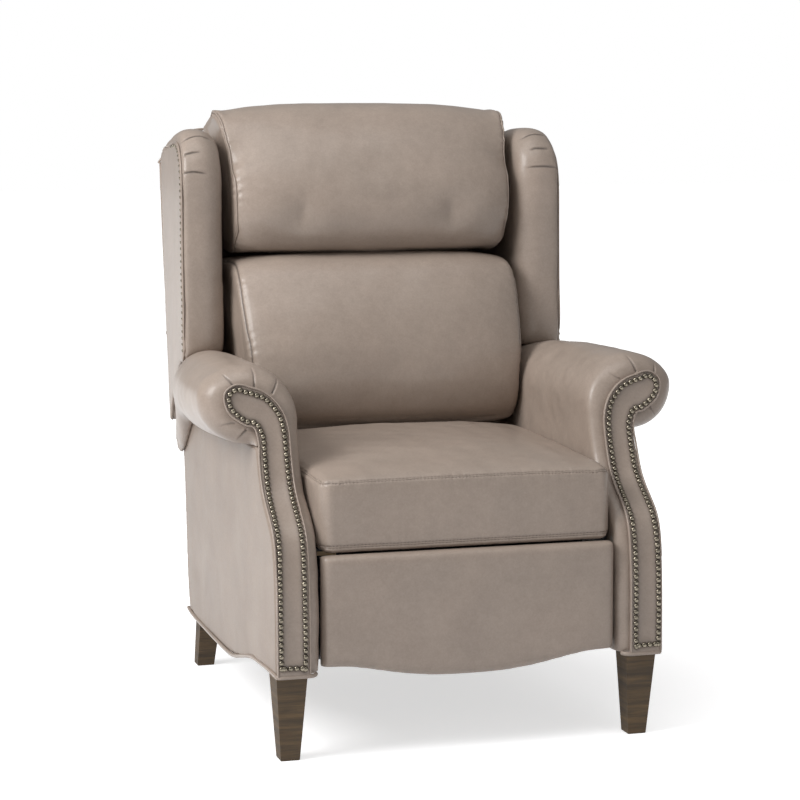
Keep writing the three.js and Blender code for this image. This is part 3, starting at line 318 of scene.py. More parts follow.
def mix(a, b, share):
    return a + (b - a) * share


def at(width, depth, height):
    """A point in the part's frame from millimetres."""
    return (width * MM, FRONT + depth * MM, height * MM)


def in_frame(rings):
    """Rings in millimetres from the front, as rings in metres in the part's frame."""
    return [np.asarray(ring, float) * MM + (0, FRONT, 0) for ring in rings]


def stood(line, depth=0.0):
    """A line in width and height, stood up at one depth or at a depth for each point."""
    return np.column_stack([line[:, 0], depth * np.ones(len(line)), line[:, 1]])


def mirrored(path):
    return np.asarray(path, float) * (-1, 1, 1)


def both(lines):
    return lines + [mirrored(line) for line in lines]


def run_of(path):
    """How far along a path each of its points lies."""
    return np.concatenate([[0], np.cumsum(np.linalg.norm(np.diff(path, axis=0), axis=1))])


def smooth_line(p, steps):
    """A smooth line from the second corner to the last but one; the outer corners steer its ends."""
    t = np.linspace(0, 1, steps, endpoint=False)[:, None]
    return np.vstack([
        0.5 * (2 * b + (c - a) * t + (2 * a - 5 * b + 4 * c - d) * t**2 + (3 * b - a - 3 * c + d) * t**3)
        for a, b, c, d in zip(p[:-3], p[1:-2], p[2:-1], p[3:])])


def spline(points, count, closed=False):
    """Evenly spaced points on a smooth line through the given ones."""
    p = np.array(points, float)
    if closed:
        p = np.vstack([p[-1], p, p[0], p[1]])
    else:
        p = np.vstack([2 * p[0] - p[1], p, 2 * p[-1] - p[-2]])
    fine = np.vstack([smooth_line(p, 24), p[-2]])
    along = run_of(fine)
    places = np.linspace(0, along[-1], count, endpoint=not closed)
    return np.column_stack([np.interp(places, along, values) for values in fine.T])


def hermite(stations, values, place):
    """Smooth values between stations, for a place or an array of places."""
    x, y = np.array(stations, float), np.array(values, float)
    slope = np.gradient(y, x, axis=0)
    place = np.clip(np.asarray(place, float), x[0], x[-1])
    i = np.clip(np.searchsorted(x, place) - 1, 0, len(x) - 2)
    h = x[i + 1] - x[i]
    t = (place - x[i]) / h
    if y.ndim > 1:
        h, t = h[..., None], t[..., None]
    return ((1 + 2 * t) * (1 - t) ** 2 * y[i] + t * (1 - t) ** 2 * h * slope[i]
            + t * t * (3 - 2 * t) * y[i + 1] + t * t * (t - 1) * h * slope[i + 1])


REAR_POINTS = spline([(up * HEIGHT, DEPTH - lean * REAR_LEAN) for up, lean in REAR_LINE], 80)
FRONT_POINTS = spline([(up * ARM_HEIGHT, back * ARM_SETBACK) for up, back in ARM_FRONT], 80)
SWEEP_POINTS = spline([(back * DEPTH, up * ARM_HEIGHT) for up, back in ARM_SWEEP[::-1]], 80)


def rear_at(height):
    """Depth of the back's rear line."""
    return np.interp(height, *REAR_POINTS.T)


def pad_rear_at(height):
    """Depth where a pad ends in front of the back's skin."""
    return rear_at(height) - SKIN - PAD_GAP


def arm_front_at(height):
    """Depth of the arms' front line."""
    return np.interp(height, *FRONT_POINTS.T)


def sweep_at(depth):
    """Height of the arms' padding under the wings; no limit in front of them."""
    return np.where(depth < SWEEP_POINTS[0, 0], HEIGHT, np.interp(depth, *SWEEP_POINTS.T))


def arm_outer_at(depth):
    return mix(ARM_OUTER_FRONT, ARM_OUTER_REAR, depth / DEPTH)


def wing_outer_at(depth):
    return WING_FRONT_X - (depth - WING_START) * (WING_FRONT_X - WING_REAR_X) / WING_DEPTH


def linked(name, data):
    """An object in the scene for a mesh, a lamp or a camera."""
    made = bpy.data.objects.new(name, data)
    bpy.context.scene.collection.objects.link(made)
    return made


def new_piece(name, corners, faces, edges=()):
    """A mesh object at the origin from corners in metres."""
    mesh = bpy.data.meshes.new(name)
    mesh.from_pydata([tuple(map(float, c)) for c in corners], edges, faces)
    mesh.validate()
    return linked(name, mesh)


def edited(piece, change):
    """Changes a piece's mesh through an editable copy of it."""
    work = bmesh.new()
    work.from_mesh(piece.data)
    change(work)
    work.to_mesh(piece.data)
    work.free()
    piece.data.update()


def outward(piece):
    """Turns all faces of a closed piece outwards."""
    def change(work):
        bmesh.ops.remove_doubles(work, verts=work.verts, dist=1e-6)
        bmesh.ops.recalc_face_normals(work, faces=work.faces)
        if work.calc_volume(signed=True) < 0:
            bmesh.ops.reverse_faces(work, faces=work.faces)

    edited(piece, change)
    return piece


def lofted(rings):
    """A closed piece from rings in millimetres with the same number of corners."""
    rings = in_frame(rings)
    count = len(rings[0])
    last = (len(rings) - 1) * count
    faces = []
    for start in range(0, last, count):
        for i in range(count):
            a, b = start + i, start + (i + 1) % count
            faces.append((a, b, b + count, a + count))
    faces += [tuple(range(count))[::-1], tuple(range(last, last + count))]
    piece = new_piece("form", np.vstack(rings), faces)

    def close_ends(work):
        ends = [face for face in work.faces if len(face.verts) > 4]
        bmesh.ops.triangulate(work, faces=ends, ngon_method="BEAUTY")

    edited(piece, close_ends)
    return outward(piece)


def copy_of(node_name):
    """A merged copy of a CAD node's mesh as an object of its own."""
    mesh = frame["nodes"][node_name].data.copy()
    mesh.materials.clear()
    return outward(linked("form", mesh))


def twin(piece, sign=-1):
    """A copy of a piece, mirrored where the sign is negative."""
    made = linked("form", piece.data.copy())
    if sign < 0:
        place_points(made, mirrored(points_of(made)))
        edited(made, lambda work: bmesh.ops.reverse_faces(work, faces=work.faces))
    return made


def remove(piece):
    mesh = piece.data
    bpy.data.objects.remove(piece)
    bpy.data.meshes.remove(mesh)


def settle(piece):
    """Applies a piece's modifiers to its mesh."""
    bpy.context.view_layer.update()
    depsgraph = bpy.context.evaluated_depsgraph_get()
    mesh = bpy.data.meshes.new_from_object(piece.evaluated_get(depsgraph), depsgraph=depsgraph)
    piece.modifiers.clear()
    old, name = piece.data, piece.data.name
    piece.data = mesh
    bpy.data.meshes.remove(old)
    mesh.name = name


def points_of(piece, kind="co"):
    """The place, or the normal, of each of a piece's points."""
    values = np.empty(len(piece.data.vertices) * 3)
    piece.data.vertices.foreach_get(kind, values)
    return values.reshape(-1, 3)


def normals_of(piece):
    return points_of(piece, "normal")


def place_points(piece, points):
    piece.data.vertices.foreach_set("co", np.asarray(points, np.float64).ravel())
    piece.data.update()


def push(piece, amount):
    """Moves each point along its normal, outwards where the amount is positive."""
    place_points(piece, points_of(piece) + normals_of(piece) * np.asarray(amount)[..., None])


def surface_of(piece):
    mesh = piece.data
    return BVHTree.FromPolygons([v.co[:] for v in mesh.vertices], [p.vertices[:] for p in mesh.polygons])


def eased(piece, iterations, group=""):
    ease = piece.modifiers.new("Ease", "SMOOTH")
    ease.factor, ease.iterations, ease.vertex_group = 0.5, iterations, group
    settle(piece)


def remeshed(piece, size, smoothing):
    """Evenly meshed, smoothed, and laid back onto its form where that is gently curved."""
    form = surface_of(piece)
    remesh = piece.modifiers.new("Even mesh", "REMESH")
    remesh.mode, remesh.voxel_size = "VOXEL", size
    eased(piece, smoothing)
    points = points_of(piece)
    gentle = piece.vertex_groups.new(name="gentle")
    for i, (point, normal) in enumerate(zip(points, normals_of(piece))):
        spot, facing, _, _ = form.find_nearest(Vector(point))
        agree = min((facing.dot(Vector(normal)) - 0.88) / 0.1, 1.0)
        if agree > 0 and (spot - Vector(point)).length < size:
            points[i] = mix(point, np.array(spot), agree)
            gentle.add([i], agree, "REPLACE")
    place_points(piece, points)
    eased(piece, 10, "gentle")
    piece.vertex_groups.clear()
    return piece


def subdivided(piece):
    fine = piece.modifiers.new("Fine", "SUBSURF")
    fine.levels = fine.render_levels = 1
    settle(piece)


def fuller(piece, tree, slack=0.0008):
    """Brings every point that lies inside a surface back to it, but for a little slack."""
    points = points_of(piece)
    for i, p in enumerate(points):
        spot, normal, _, _ = tree.find_nearest(Vector(p))
        deep = (spot - Vector(p)).dot(normal)
        if deep > slack:
            points[i] = p + (np.array(spot) - p) * (1 - slack / deep)
    place_points(piece, points)


def waves(points, size, seed, count=14):
    """Soft random waves over points, of about the given size, between about -1 and 1."""
    draw = np.random.default_rng(seed)
    turn = draw.normal(size=(count, 3))
    turn *= (draw.uniform(0.6, 1.5, count) / np.linalg.norm(turn, axis=1))[:, None]
    shift = draw.uniform(0, 2 * math.pi, count)
    return np.sin(points @ (turn.T * 2 * math.pi / size) + shift).sum(1) / math.sqrt(count)


def rippled(piece, *ripples):
    """Pushes soft waves into a surface: the height, size and seed of each."""
    points = points_of(piece)
    push(piece, sum(height * waves(points, size, seed) for height, size, seed in ripples))


def near(points, path):
    """Distance to a path and the distance along it, for each point."""
    path = np.asarray(path, float)
    along = run_of(path)
    distance, place = np.empty(len(points)), np.empty(len(points))
    batch = 4000
    for i in range(0, len(points), batch):
        gap = np.linalg.norm(points[i:i + batch, None] - path[None], axis=2)
        best = gap.argmin(1)
        distance[i:i + batch] = gap[np.arange(len(best)), best]
        place[i:i + batch] = along[best]
    return distance, place


def closest(points, paths):
    """Distance to the nearest of several paths, for each point."""
    return np.min([near(points, path)[0] for path in paths], axis=0)


def laid_on(tree, path, lift=0.0, count=None):
    """A path laid on a surface: its points and the surface's normals there."""
    points, normals = [], []
    for p in spline(path, count) if count else np.asarray(path, float):
        spot, normal, _, _ = tree.find_nearest(Vector(p))
        points.append(np.array(spot) + np.array(normal) * lift)
        normals.append(np.array(normal))
    return np.array(points), np.array(normals)


def steadied(normals, reach=6):
    """Directions along a path, each the mean of its neighbours."""
    parts = [normals[max(0, i - reach):i + reach + 1].mean(0) for i in range(len(normals))]
    return np.array([part / np.linalg.norm(part) for part in parts])


def refined(piece, paths, reach, rounds=1):
    """Cuts the faces near some paths finer."""
    for _ in range(rounds):
        close = closest(points_of(piece), paths) < reach

        def cut(work):
            edges = [e for e in work.edges if close[e.verts[0].index] and close[e.verts[1].index]]
            bmesh.ops.subdivide_edges(work, edges=edges, cuts=1, use_grid_fill=True)

        edited(piece, cut)


def note(piece, values):
    """Keeps how close the seams are on the mesh, for the leather's colour."""
    kept = piece.data.attributes.get("seam") or piece.data.attributes.new("seam", "FLOAT", "POINT")
    before = np.empty(len(values), np.float32)
    kept.data.foreach_get("value", before)
    kept.data.foreach_set("value", np.maximum(before, values).astype(np.float32))


def seamed(piece, paths, depth, gather, seed):
    """Draws a surface in along its seams, gathers it there and notes the seams."""
    points = points_of(piece)
    moved, painted_shade = np.zeros(len(points)), np.zeros(len(points))
    for k, path in enumerate(paths):
        distance, place = near(points, path)
        groove = np.exp(-(distance / SEAM_WIDTH) ** 2)
        moved -= depth * groove
        painted_shade = np.maximum(painted_shade, np.exp(-(distance / (SEAM_WIDTH * 0.8)) ** 2))
        draw = np.random.default_rng(seed + k)
        beat = np.sin(2 * math.pi * place / GATHER_BEAT + 1.7 * np.sin(place * 61 + draw.uniform(0, 6)))
        beat = np.clip(beat, -0.4, 1) * (0.6 + 0.4 * np.sin(place * 37 + draw.uniform(0, 6)))
        moved -= gather * beat * np.exp(-distance / GATHER_REACH) * (1 - groove)
    push(piece, moved)
    note(piece, painted_shade)


def pressed(piece, lines, fade_of, above_of, ridge, reach, depth, width):
    """Presses lines into a surface, each with one side a little higher, and notes them.

    fade_of gives the strength of a line along it, above_of how far points lie on its higher side.
    """
    refined(piece, lines, 0.014, 2)
    points = points_of(piece)
    moved, painted_shade = np.zeros(len(points)), np.zeros(len(points))
    for i, line in enumerate(lines):
        distance, place = near(points, line)
        fade = fade_of(i, place / place.max())
        groove = np.exp(-(distance / width) ** 2)
        raised = np.tanh(above_of(line, points) / 0.002) * np.exp(-(distance / reach) ** 2)
        moved += fade * (ridge * raised - depth * groove)
        painted_shade = np.maximum(painted_shade, fade * groove)
    push(piece, moved)
    note(piece, painted_shade)


def swollen(piece, filling, held):
    """Fills a cushion: its seams are held while the filling pushes the rest out, up to the swell."""
    start = points_of(piece)
    group = piece.vertex_groups.new(name="held")
    group.add([int(i) for i in np.flatnonzero(held)], 1.0, "REPLACE")
    cloth = piece.modifiers.new("Filling", "CLOTH")
    made = cloth.settings
    made.quality = 5
    made.mass = 0.3
    made.tension_stiffness = made.compression_stiffness = 25
    made.shear_stiffness = 12
    made.bending_stiffness = 2
    made.use_pressure = True
    made.uniform_pressure_force = filling.pressure
    made.vertex_group_mass = "held"
    made.effector_weights.gravity = 0
    cloth.collision_settings.use_collision = False
    cloth.point_cache.frame_start, cloth.point_cache.frame_end = 1, filling.steps
    scene = bpy.context.scene
    for step in range(1, filling.steps + 1):
        scene.frame_set(step)
    gone = points_of(piece.evaluated_get(bpy.context.evaluated_depsgraph_get())) - start
    piece.modifiers.clear()
    piece.vertex_groups.clear()
    scene.frame_set(1)
    far = np.maximum(np.linalg.norm(gone, axis=1), 1e-9)
    place_points(piece, start + gone * np.minimum(1, filling.swell / far)[:, None])


def finished(piece, name, body, nodes, material=None):
    """Names a piece, gives it its material, leather if none is named, and ties it to the frame."""
    piece.name = piece.data.name = name
    piece.data.materials.clear()
    piece.data.materials.append(material or leather("Leather"))
    piece.data.polygons.foreach_set("use_smooth", [True] * len(piece.data.polygons))
    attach(piece, body)
    if nodes:
        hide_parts(*nodes)
    return piece


# Materials

def node(tree, kind, inputs=None, **settings):
    made = tree.nodes.new(kind)
    for key, value in settings.items():
        setattr(made, key, value)
    for key, value in (inputs or {}).items():
        if isinstance(value, bpy.types.NodeSocket):
            tree.links.new(value, made.inputs[key])
        else:
            made.inputs[key].default_value = value
    return made


def new_group(name, kind, inputs, outputs):
    """A node group with named sockets, and the sockets inside it."""
    group = bpy.data.node_groups.new(name, kind)
    for way, sockets in (("INPUT", inputs), ("OUTPUT", outputs)):
        for label, sort in sockets.items():
            group.interface.new_socket(label, in_out=way, socket_type="NodeSocket" + sort)
    return group, node(group, "NodeGroupInput").outputs, node(group, "NodeGroupOutput").inputs


def mixed_colour(tree, share, a, b):
    return node(tree, "ShaderNodeMix", {0: share, 6: a, 7: b}, data_type="RGBA").outputs[2]


def math_node(tree, way, a, b=0.0, c=0.0):
    return node(tree, "ShaderNodeMath", {0: a, 1: b, 2: c}, operation=way).outputs[0]


def noise_of(tree, vector, scale, detail=3.0, roughness=0.5, distortion=0.0):
    return node(tree, "ShaderNodeTexNoise", {
        "Vector": vector, "Scale": scale, "Detail": detail, "Roughness": roughness,
        "Distortion": distortion}).outputs["Fac"]


def ranged(tree, value, low, high, to_low, to_high):
    return node(tree, "ShaderNodeMapRange", {
        "Value": value, "From Min": low, "From Max": high, "To Min": to_low,
        "To Max": to_high}).outputs["Result"]


def place_in(tree):
    return node(tree, "ShaderNodeTexCoord").outputs["Object"]


def shaded(colour, share=1.0):
    """A darker or lighter colour with its alpha."""
    return tuple(min(1, c * share) for c in colour) + (1,)


def hide_group():
    """Clouding, pores and grain of a hide, darker along its seams."""
    group, given, out = new_group("Hide", "ShaderNodeTree", {
        "Colour": "Color", "Clouds": "Float", "Grain": "Float", "Panel Shade": "Float", "Seam": "Float",
        "Roughness": "Float"}, {"Colour": "Color", "Roughness": "Float", "Height": "Float"})
    place = place_in(group)

    def noise(measure, share, *shape):
        return noise_of(group, place, math_node(group, "MULTIPLY", given[measure], share), *shape)

    cloud, broad = noise("Clouds", 1.0, 4.0, 0.55, 0.4), noise("Clouds", 0.31, 2.0)
    fine, speck = noise("Clouds", 5.3, 5.0, 0.62, 0.3), noise("Clouds", 21.0, 4.0, 0.6, 0.2)
    level = 1.0
    for layer, swing in ((cloud, 0.045), (broad, 0.03), (fine, 0.05), (speck, 0.06)):
        level = math_node(group, "ADD", ranged(group, layer, 0.3, 0.7, -swing, swing), level)
    # Painted shade for a whole panel: a factor below 1 darkens it
    level = math_node(group, "MULTIPLY", level, given["Panel Shade"])
    # Painted shade: up to 70% darker where the seam attribute marks a seam, a fold or a nail
    level = math_node(group, "MULTIPLY", level, math_node(group, "MULTIPLY_ADD", given["Seam"], -0.7, 1.0))
    warm = ranged(group, noise("Clouds", 0.62), 0.38, 0.62, 0, 0.4)
    base = mixed_colour(group, warm, given["Colour"], (0.352, 0.279, 0.231, 1))
    scaled = node(group, "ShaderNodeVectorMath", {0: base, "Scale": level}, operation="SCALE")
    pebble = node(group, "ShaderNodeTexVoronoi", {"Vector": place, "Scale": given["Grain"]},
                  feature="SMOOTH_F1")
    crease = math_node(group, "MULTIPLY", noise("Grain", 0.16, 4.0, 0.6, 0.6), 0.6)
    rough = math_node(group, "ADD", given["Roughness"], ranged(group, fine, 0.3, 0.7, -0.045, 0.045))
    rough = math_node(group, "ADD", rough, ranged(group, cloud, 0.3, 0.7, 0.012, -0.012))
    height = math_node(group, "MULTIPLY_ADD", pebble.outputs["Distance"], -0.5, crease)
    for label, value in (("Colour", scaled.outputs[0]), ("Roughness", rough), ("Height", height)):
        group.links.new(value, out[label])
    return group


def once(build):
    """A material that is built when its name is asked for the first time."""
    def found_or_built(name, *values):
        made = bpy.data.materials.get(name)
        if not made:
            made = bpy.data.materials.new(name)
            made.use_nodes = True
            build(made.node_tree, made.node_tree.nodes["Principled BSDF"], *values)
        return made
    return found_or_built


def tied(tree, shader, colour, rough, height, distance, strength):
    """Ties a colour, a roughness and the bump of a height to a shader."""
    bump = node(tree, "ShaderNodeBump", {"Height": height, "Distance": distance, "Strength": strength})
    for label, value in (("Base Color", colour), ("Roughness", rough), ("Normal", bump.outputs["Normal"])):
        tree.links.new(value, shader.inputs[label])


@once
def leather(tree, shader, tone=1.0, sheen=1.0):
    """Smooth, softly clouded leather; tone and sheen set a panel apart from the rest of the hide."""
    settings = bpy.context.scene.recliner_leather
    group = bpy.data.node_groups.get("Hide") or hide_group()
    hide = node(tree, "ShaderNodeGroup", node_tree=group)
    # The seam attribute holds painted shade at seams, folds and nails
    seam = node(tree, "ShaderNodeAttribute", attribute_name="seam")
    tree.links.new(seam.outputs["Fac"], hide.inputs["Seam"])
    for label, value in (
            ("Colour", shaded(settings.colour)), ("Clouds", 1 / settings.cloud_size),
            ("Grain", 1 / settings.grain_size), ("Panel Shade", tone), ("Roughness", settings.roughness)):
        hide.inputs[label].default_value = value
    colour, rough, height = (hide.outputs[label] for label in ("Colour", "Roughness", "Height"))
    tied(tree, shader, colour, rough, height, 0.00022, 0.5)
    shader.inputs["Specular IOR Level"].default_value = 0.36 * sheen
    shader.inputs["Coat Weight"].default_value = 0.16 * sheen
    shader.inputs["Coat Roughness"].default_value = 0.18


@once
def wood(tree, shader, colour, along, contrast, roughness):
    """Wood whose grain is drawn out along an axis."""
    drawn = node(tree, "ShaderNodeMapping", {"Vector": place_in(tree), "Scale": along}).outputs["Vector"]
    fibre = noise_of(tree, drawn, 9.0, 8.0, 0.68, 0.3)
    ring = noise_of(tree, drawn, 2.6, 4.0, 0.55, 0.8)
    pore = noise_of(tree, drawn, 27.0, 3.0, 0.7)
    dark, light = shaded(colour, mix(1, 0.42, contrast)), shaded(colour, mix(1, 1.7, contrast))
    tone = mixed_colour(tree, ranged(tree, ring, 0.32, 0.68, 0, 1), dark, light)
    tone = mixed_colour(tree, ranged(tree, fibre, 0.35, 0.65, 0.05, 0.75), tone, dark)
    tone = mixed_colour(tree, ranged(tree, pore, 0.6, 0.75, 0, 0.5), tone, shaded(colour, 0.3))
    rough = ranged(tree, fibre, 0.3, 0.7, roughness + 0.08, roughness - 0.06)
    tied(tree, shader, tone, rough, fibre, 0.0004, 0.35)


@once
def metal(tree, shader, colour, roughness, metallic=1.0, spots=260.0, dirt=0.35):
    """Metal with worn and dirty places."""
    spot = noise_of(tree, place_in(tree), spots, 4.0, 0.6)
    patch = noise_of(tree, place_in(tree), spots * 0.13, 2.0)
    tone = mixed_colour(tree, ranged(tree, patch, 0.35, 0.65, 0, 1), shaded(colour), shaded(colour, 1.35))
    tone = mixed_colour(tree, ranged(tree, spot, 0.45, 0.65, 0, 1), tone, shaded(colour, 1 - dirt))
    rough = ranged(tree, spot, 0.3, 0.7, roughness - 0.07, roughness + 0.12)
    tied(tree, shader, tone, rough, spot, 0.0002, 0.25)
    shader.inputs["Metallic"].default_value = metallic


@once
def woven(tree, shader, colour):
    """Backing cloth with a plain weave and some lint."""
    place = place_in(tree)
    weave = 0.0
    for axis in ("X", "Y", "Z"):
        rows = node(tree, "ShaderNodeTexWave", {"Vector": place, "Scale": 160.0, "Distortion": 0.4},
                    bands_direction=axis)
        weave = math_node(tree, "MAXIMUM", rows.outputs["Fac"], weave)
    lint = noise_of(tree, place, 55.0, 4.0, 0.6)
    tone = mixed_colour(tree, ranged(tree, weave, 0.2, 1, 0, 1), shaded(colour, 0.5), shaded(colour))
    tone = mixed_colour(tree, ranged(tree, lint, 0.5, 0.8, 0, 0.5), tone, shaded(colour, 2.2))
    tied(tree, shader, tone, ranged(tree, lint, 0.3, 0.7, 0.82, 0.95), weave, 0.0006, 0.5)


def aged_nails():
    return metal("Aged nails", tuple(bpy.context.scene.recliner_trim.nail_colour), 0.24)


def leg_stain():
    return wood("Stained oak", tuple(bpy.context.scene.recliner_wood.stain), (2.0, 2.0, 34), 1.0, 0.66)


# Trim made with geometry nodes

def trim_group(name, sizes, spacing):
    """A group for trim along a path, with the path's evenly spaced points."""
    tree, given, out = new_group(
        name, "GeometryNodeTree",
        {"Path": "Geometry", **dict.fromkeys(sizes, "Float"), "Material": "Material"}, {"Trim": "Geometry"})
    curve = node(tree, "GeometryNodeMeshToCurve", {"Mesh": given["Path"]})
    even = node(tree, "GeometryNodeResampleCurve", {"Curve": curve.outputs[0], "Length": given[spacing]},
                mode="LENGTH")
    return tree, given, out, even.outputs[0]


def ended(tree, geometry, given, out):
    smooth = node(tree, "GeometryNodeSetShadeSmooth", {"Geometry": geometry})
    real = node(tree, "GeometryNodeRealizeInstances", {"Geometry": smooth.outputs[0]})
    painted = node(tree, "GeometryNodeSetMaterial", {
        "Geometry": real.outputs[0], "Material": given["Material"]})
    tree.links.new(painted.outputs[0], out["Trim"])
    return tree


def cord_group(name):
    """A covered cord along a path."""
    tree, given, out, even = trim_group(name, ("Radius", "Step"), "Step")
    ring = node(tree, "GeometryNodeCurvePrimitiveCircle", {"Resolution": 10, "Radius": given["Radius"]})
    cord = node(tree, "GeometryNodeCurveToMesh", {
        "Curve": even, "Profile Curve": ring.outputs[0], "Fill Caps": True})
    return ended(tree, cord.outputs[0], given, out)


def nail_group(name):
    """Domed nail heads along a path, each square to the surface that the path notes."""
    tree, given, out, even = trim_group(name, ("Pitch", "Width", "Dome"), "Pitch")
    facing = node(tree, "GeometryNodeInputNamedAttribute", {"Name": "outward"}, data_type="FLOAT_VECTOR")
    turned = node(tree, "FunctionNodeAlignRotationToVector", {"Vector": facing.outputs["Attribute"]},
                  axis="Z")
    radius = node(tree, "ShaderNodeMath", {0: given["Width"], 1: 0.5}, operation="MULTIPLY")
    ball = node(tree, "GeometryNodeMeshUVSphere", {"Segments": 12, "Rings": 8, "Radius": radius.outputs[0]})
    scale = node(tree, "ShaderNodeCombineXYZ", {0: 1.0, 1: 1.0, 2: given["Dome"]})
    dome = node(tree, "GeometryNodeTransform", {"Geometry": ball.outputs[0], "Scale": scale.outputs[0]})
    nails = node(tree, "GeometryNodeInstanceOnPoints", {
        "Points": even, "Instance": dome.outputs[0], "Rotation": turned.outputs[0]})
    return ended(tree, nails.outputs[0], given, out)


def trimmed(name, paths, group_name, build, sizes, body):
    """One piece of trim along several paths, each with the outward direction of its points."""
    corners, edges, facings = [], [], []
    for points, facing in paths:
        first = len(corners)
        corners.extend(points)
        facings.extend(facing)
        edges += [(first + i, first + i + 1) for i in range(len(points) - 1)]
    piece = new_piece(name, corners, [], edges)
    kept = piece.data.attributes.new("outward", "FLOAT_VECTOR", "POINT")
    kept.data.foreach_set("vector", np.asarray(facings, np.float32).ravel())
    tree = bpy.data.node_groups.get(group_name) or build(group_name)
    trim = piece.modifiers.new("Trim", "NODES")
    trim.node_group = tree
    given = {item.name: item.identifier for item in tree.interface.items_tree if item.in_out == "INPUT"}
    for label, value in sizes.items():
        trim[given[label]] = value
    settle(piece)
    left = piece.data.attributes.get("outward")
    if left:
        piece.data.attributes.remove(left)
    finished(piece, name, body, (), sizes["Material"])


def welted(name, lines, radius, step, body):
    """Covered cords along some lines, as one piece."""
    sizes = {"Radius": radius, "Step": step, "Material": leather("Leather")}
    paths = [(line, [(0, 0, 1)] * len(line)) for line in lines]
    trimmed(name, paths, "Covered cord", cord_group, sizes, body)


def nailed(name, path, facing, pitch, width, dome, body):
    """Nail heads along a path and its mirror image, as one piece."""
    sizes = {"Pitch": pitch, "Width": width, "Dome": dome, "Material": aged_nails()}
    paths = list(zip(both([path]), both([steadied(facing)])))
    trimmed(name, paths, "Domed nails", nail_group, sizes, body)


# The pieces

def side_curve(shares, front, rear, bottom, top):
    """A cushion's closed side outline, in depth and height."""
    p = np.array([(mix(front, rear, back), mix(bottom, top, up)) for back, up in shares])
    return smooth_line(np.vstack([p[-1], p, p[0], p[1]]), 10)


def cushion_form(middle, end, widths, stations, box, half_width, corner=16.0):
    """A cushion across the chair, crowned from its end outlines to its middle one."""
    front, rear, bottom, top = box
    full, slim = side_curve(middle, *box), side_curve(end, *box)
    across, crown, drawn = np.array(stations[::-1], float).T
    rings = []
    for place in np.concatenate([np.linspace(0, END_START, 40), np.linspace(END_START + 0.005, 1, 12)]):
        share = hermite(across, crown, place) if place < END_START else np.interp(place, across, crown)
        y, z = mix(slim, full, float(share)).T
        inward = 2 * corner * np.interp(place, across, drawn)
        y = np.clip(mix(y, (front + rear) / 2, inward / (rear - front)), front, rear)
        z = np.clip(mix(z, (bottom + top) / 2, inward / (top - bottom)), bottom, top)
        x = place * half_width * np.interp((z - bottom) / (top - bottom), *zip(*widths))
        rings.append(np.column_stack([x, y, z]))
    return lofted([mirrored(ring) for ring in rings[:0:-1]] + rings)


def padded_cushion(node_name, body, form, seams, limit, seed, gather, dents=None):
    """Fills, seams and finishes one cushion; gives its surface and the seams that lie on it."""
    filling = bpy.context.scene.recliner_cushion
    full = surface_of(form)
    remeshed(form, filling.mesh_size, 5)
    room = 0.003
    push(form, -room)
    tree = surface_of(form)
    paths = [laid_on(tree, path, count=SEAM_POINTS)[0] for path in seams]
    swollen(form, filling, closest(points_of(form), paths) < filling.mesh_size * 0.6)
    subdivided(form)
    points = points_of(form)
    fuller(form, full)
    push(form, 0.0005 * waves(points, 0.16, seed) + 0.0003 * waves(points, 0.06, seed + 1))
    if dents:
        push(form, dents(points_of(form)))
    limited = limit((points_of(form) - (0, FRONT, 0)) / MM)
    place_points(form, in_frame([limited])[0])
    tree = surface_of(form)
    paths = [laid_on(tree, path, count=SEAM_POINTS)[0] for path in seams]
    refined(form, paths, 0.012)
    seamed(form, paths, bpy.context.scene.recliner_trim.seam_depth, gather, seed)
    finished(form, node_name + "_cover", body, [node_name])
    return surface_of(form), paths


def seam_welts(name, sewn, radius, lift, step, body):
    """Fine cords on the seams of a cushion, lifted by a share of their radius."""
    tree, paths = sewn
    welted(name, [laid_on(tree, path, radius * lift)[0] for path in paths], radius, step, body)


def held_in(points, most, top):
    """Keeps points within a half width and below a height."""
    points[:, 0] = np.clip(points[:, 0], -most, most)
    points[:, 2] = np.minimum(points[:, 2], top)
    return points


def before_lining(points):
    """Keeps points in front of the back's lining."""
    points[:, 1] = np.minimum(points[:, 1], rear_at(points[:, 2]) - LINING_DEPTH)


def seat_cushion():
    """The boxed seat cushion with its welts"""
    form = cushion_form(SEAT_MIDDLE, SEAT_END, SEAT_WIDTH, SEAT_STATIONS, SEAT_BOX, SEAT_HALF)
    points = points_of(form)
    near_end = np.clip((np.abs(points[:, 0]) / MM - SEAT_HALF + SEAT_CORNER) / SEAT_CORNER, 0, 1)
    ahead = np.clip((FRONT + 0.13 - points[:, 1]) / 0.07, 0, 1)
    points[:, 1] += ahead * SEAT_CORNER * MM * (1 - np.sqrt(1 - near_end**2))
    place_points(form, points)
    rim = SEAT_RIM + [(0, SEAT_BOX[0])] + [(-x, y) for x, y in SEAT_RIM[::-1]]
    seams = [[at(x, y, z) for x, y in rim] for z in SEAT_SEAMS]

    def limit(points):
        lip = np.clip((95 - points[:, 1]) / 40, 0, 1)
        points[:, 2] = np.maximum(points[:, 2], mix(356.4, 350.8, lip))
        return held_in(points, SEAT_HALF + 1, HEIGHT)

    sewn = padded_cushion("seat_cushion", "seat", form, seams, limit, 11, 0.0005)
    seam_welts("seat_cushion_welt", sewn, 0.0011, 0.3, 0.006, "seat")


def lumbar_cushion():
    """The lower back cushion"""
    form = cushion_form(LUMBAR_MIDDLE, LUMBAR_END, LUMBAR_WIDTH, PLUMP_STATIONS, LUMBAR_BOX, 274)
    seams = [[at(x * sign, y, z) for x, y, z in LUMBAR_SEAM] for _, sign in SIDES]

    def limit(points):
        before_lining(points)
        above_arms = np.maximum(0, points[:, 2] - 563)
        return held_in(points, 262.5 + above_arms * 0.13, LUMBAR_BOX[3])

    padded_cushion("lumbar_cushion", "back", form, seams, limit, 23, 0.0009)


